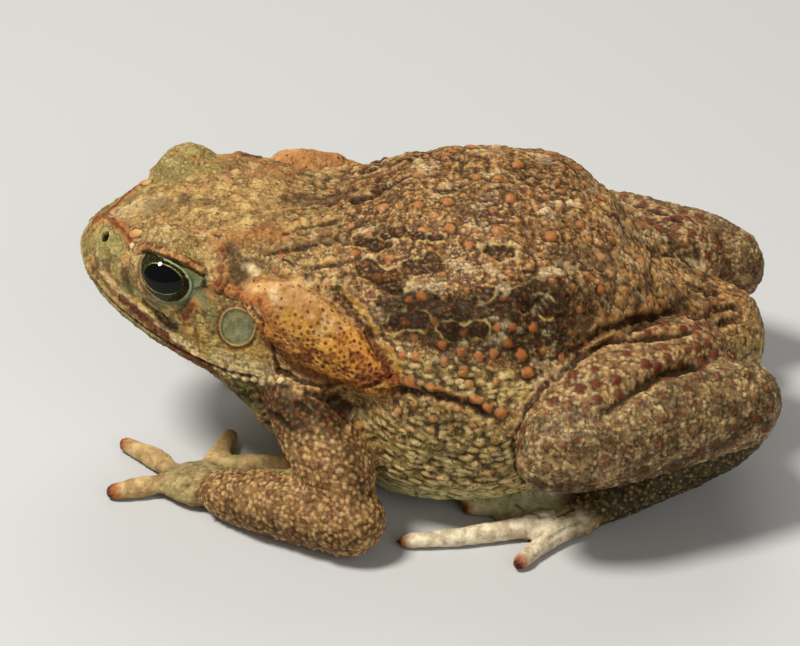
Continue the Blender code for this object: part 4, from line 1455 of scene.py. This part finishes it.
def coat_texture(paint):
    """Grains, mottling and flecks under the marks, with painted light on the crests and painted glints."""
    relief, grain, pebbles, fore, crest, speckle = [
        paint.mask(name) for name in ("relief", "grain", "pebbles", "fore", "crest", "speckle")]
    open_skin = paint.span(paint.mask("shade"), 0.0, 1.0, 1.0, 0.2)
    pale_grain = paint.times(paint.span(grain, 0.5, 0.3), paint.span(relief, 0.35, 0.7), pebbles, open_skin)
    red_grain = paint.times(paint.span(grain, 0.74, 0.86), paint.span(relief, 0.3, 0.6), pebbles)
    stain = paint.times(paint.span(paint.noise(5.0, 4.0), 0.48, 0.6), fore, 0.62)
    wash = paint.times(paint.span(paint.noise(3.4), 0.48, 0.36), fore, 0.5)
    # painted light on the crests
    crest_light = paint.times(paint.span(crest, 0.58, 0.85), open_skin, 0.45)
    flecks = paint.times(paint.span(paint.noise(0.9, 2.0), 0.56, 0.66), speckle, 0.75)
    glints = paint.times(paint.span(paint.noise(0.8, 2.0), 0.42, 0.34), speckle, open_skin, 0.5)
    for share, tint in ((pale_grain, (204, 180, 130)), (red_grain, (136, 66, 38)), (stain, (100, 76, 46)),
                        (wash, (206, 178, 114)), (crest_light, (206, 168, 108)), (flecks, (48, 32, 20)),
                        (glints, (206, 174, 116))):
        paint.coat(share, tint)


# how far grains show in the colours of each region
PEBBLES = {"head": 0.12, "jaw": 0.3, "drum": 0.0, "gland": 0.05, "trunk": 0.3, "arm": 0.36, "thigh": 0.35,
           "shank": 0.18, "tarsus": 0.08, "hand": 0.3, "foot": 0.2, "finger": 0.2, "toe": 0.15}


def store_areas():
    """Shares that are places on the body rather than solids."""
    flank, granules = flank_share(), PAINT["granules"]
    border = ALONG + 4 * ripple(7.0, 501) + 2 * ripple(2.5, 502)
    neck = TRUNK * fade(border, -20, -9) * ramp(HEIGHT, 34, 42)
    speckle = TRUNK + 0.45 * HEAD + SHANK + 0.4 * THIGH + 0.25
    pebbles = sum(share * REGION[name] for name, share in PEBBLES.items())
    areas = {
        "pebbles": pebbles + 0.45 * flank + 0.35 * granules,
        "fore": np.maximum(HEAD, 0.85 * neck),
        "cheek": 0.8 * HEAD * fade(LEVEL + 2 * ripple(4.0, 504), 44, 50) * ramp(OUT, 12, 20),
        "gland_top": GLAND * ramp(LEVEL + 2 * ripple(4.0, 503), 48, 56),
        "flank": np.maximum(0.85 * flank, 0.8 * granules),
        "belly": TRUNK * fade(HEIGHT, 6, 16),
        "speckle": np.clip(speckle, 0, 1) * (1 - 0.7 * GLAND) * CALM,
    }
    for name, values in areas.items():
        store(skin_mesh, name, values)


def make_skin():
    store_areas()
    skin_mesh.shade_smooth()
    skin_mesh.materials.append(skin_material())
    skin = object_from("toad_skin", skin_mesh)
    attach(skin, "root")
    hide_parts(*FLESH)


make_skin()


# ---- eyes ----

PUPIL_PIXEL = (161.5, 279.5)
PUPIL_REAR_PIXEL = (181.0, 286.0)
PUPIL_REACH = (41.0, 27.0)   # half length and half height of the pupil, in degrees on the eyeball
EYE_RINGS = 96
CORNEA = 0.35             # the clear front bulges this far
CORNEA_EDGE = 60          # degrees from the pupil's middle to where the bulge ends


def make_eyeball(side):
    low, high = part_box(f"eye_{side}")
    radius = (high.z - low.z) / 2 / MM
    aim = on_eye(*PUPIL_PIXEL, radius)
    rear = on_eye(*PUPIL_REAR_PIXEL, radius)
    rear = unit(rear - (rear @ aim) * aim)
    up = np.cross(rear, aim)
    up = up if up[2] > 0 else -up
    mesh = ball_mesh((0, 0, 0), radius, EYE_RINGS)
    points = points_of(mesh)
    centre = EYES[side] - MIDDLE
    here = folded(points + centre) - folded(centre[None])
    ways = unit(here)
    angle = np.degrees(np.arccos(np.clip(ways @ aim, -1, 1)))
    across = unit(np.stack((ways @ rear, ways @ up), 1)) * angle[:, None]
    bulge = CORNEA * fade(angle, 0, CORNEA_EDGE)
    set_points(mesh, points * (1 + bulge / radius)[:, None] + EYES[side])
    store(mesh, "eye_along", across[:, 0])
    store(mesh, "eye_up", across[:, 1])
    mesh.shade_smooth()
    mesh.materials.append(EYE_MATERIAL)
    obj = object_from(f"eyeball_{side}", mesh)
    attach(obj, "root")
    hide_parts(f"eye_{side}")


def eye_material():
    """A black oval pupil with a thin gold edge in a dark flecked iris; reach is 1 at the pupil's edge."""
    paint = Paint("eye")
    along, up = paint.mask("eye_along"), paint.mask("eye_up")
    squared = [paint.math("POWER", paint.times(value, 1 / reach), 2.0)
               for value, reach in zip((along, up), PUPIL_REACH)]
    reach = paint.math("SQRT", paint.math("ADD", *squared), 0.0)
    flecks = paint.span(paint.noise(0.5, 4.0), 0.42, 0.66)
    paint.colour = paint.mix(flecks, (16, 17, 9), (58, 52, 24))
    ring = paint.times(paint.span(reach, 0.97, 1.0), paint.span(reach, 1.09, 1.03))
    ring = paint.times(ring, paint.span(flecks, 0.0, 0.6, 0.5, 1.0))
    upper = paint.span(paint.math("ABSOLUTE", up, 0.0), 12.0, 24.0, 0.05, 0.8)
    paint.coat(paint.times(ring, upper), (168, 162, 92))
    paint.coat(paint.span(reach, 1.5, 2.2), (16, 20, 14))
    paint.coat(paint.span(reach, 0.98, 0.93), (5, 6, 6))
    paint.into("Base Color", paint.colour)
    paint.into("Roughness", paint.span(paint.noise(2.0), 0.3, 0.7, 0.03, 0.07))
    paint.into("Specular IOR Level", 0.16)
    paint.into("Coat Weight", 0.1)
    paint.into("Coat Roughness", 0.02)
    return paint.material


EYE_MATERIAL = eye_material()
for eye_side in SIDES:
    make_eyeball(eye_side)


# ---- studio ----

CLIP_START, CLIP_END = 0.01, 20.0   # metres
FLOOR_REACH = 3.0         # metres to each side
FLOOR_DROP = 0.2          # how far the floor lies under the skin's lowest points
FLOOR_COLOUR, FLOOR_ROUGHNESS = (0.46, 0.46, 0.45, 1), 0.85
LIGHTS = (                # name, place and width in metres, watts and colour
    ("key", (0.25, -0.5, 1.05), 0.3, 17.5, (1.0, 0.98, 0.94)),
    ("fill", (0.8, 0.5, 0.5), 0.8, 3.6, (1.0, 0.99, 0.97)),
    ("far", (-0.8, 0.1, 0.8), 0.7, 4.0, (1.0, 0.99, 0.97)),
)
SKY_COLOUR, SKY_STRENGTH = (1.0, 0.97, 0.92, 1), 0.20


def make_camera():
    camera = bpy.data.cameras.new("camera")
    camera.lens = LENS_MM
    camera.sensor_width = SENSOR_MM
    camera.clip_start = CLIP_START
    camera.clip_end = CLIP_END
    obj = object_from("camera", camera)
    axes = Matrix((RIGHT, UP, BACK)).transposed().to_4x4()
    axes.translation = Vector(CAMERA) * MM
    obj.matrix_world = axes
    bpy.context.scene.camera = obj


def make_floor():
    bm = bmesh.new()
    bmesh.ops.create_grid(bm, x_segments=1, y_segments=1, size=FLOOR_REACH)
    obj = object_from("floor", mesh_from(bm, "floor"))
    obj.location.z = -FLOOR_DROP * MM
    paint = Paint("floor")
    paint.shader.inputs["Base Color"].default_value = FLOOR_COLOUR
    paint.into("Roughness", FLOOR_ROUGHNESS)
    obj.data.materials.append(paint.material)


def make_light(name, place, size, watts, colour):
    """A round soft light aimed at the toad; only the key shows in glossy skin."""
    light = bpy.data.lights.new(name, "AREA")
    light.shape = "DISK"
    light.size = size
    light.energy = watts
    light.color = colour
    obj = object_from(name, light)
    obj.visible_glossy = name == "key"
    obj.location = place
    obj.rotation_mode = "QUATERNION"
    obj.rotation_quaternion = (-Vector(place)).to_track_quat("-Z", "Y")


def make_world():
    world = bpy.data.worlds.new("studio")
    world.use_nodes = True
    background = world.node_tree.nodes["Background"]
    background.inputs["Color"].default_value = SKY_COLOUR
    background.inputs["Strength"].default_value = SKY_STRENGTH
    bpy.context.scene.world = world


bpy.context.scene.view_settings.view_transform = "Standard"
make_camera()
make_floor()
make_world()
for light_row in LIGHTS:
    make_light(*light_row)
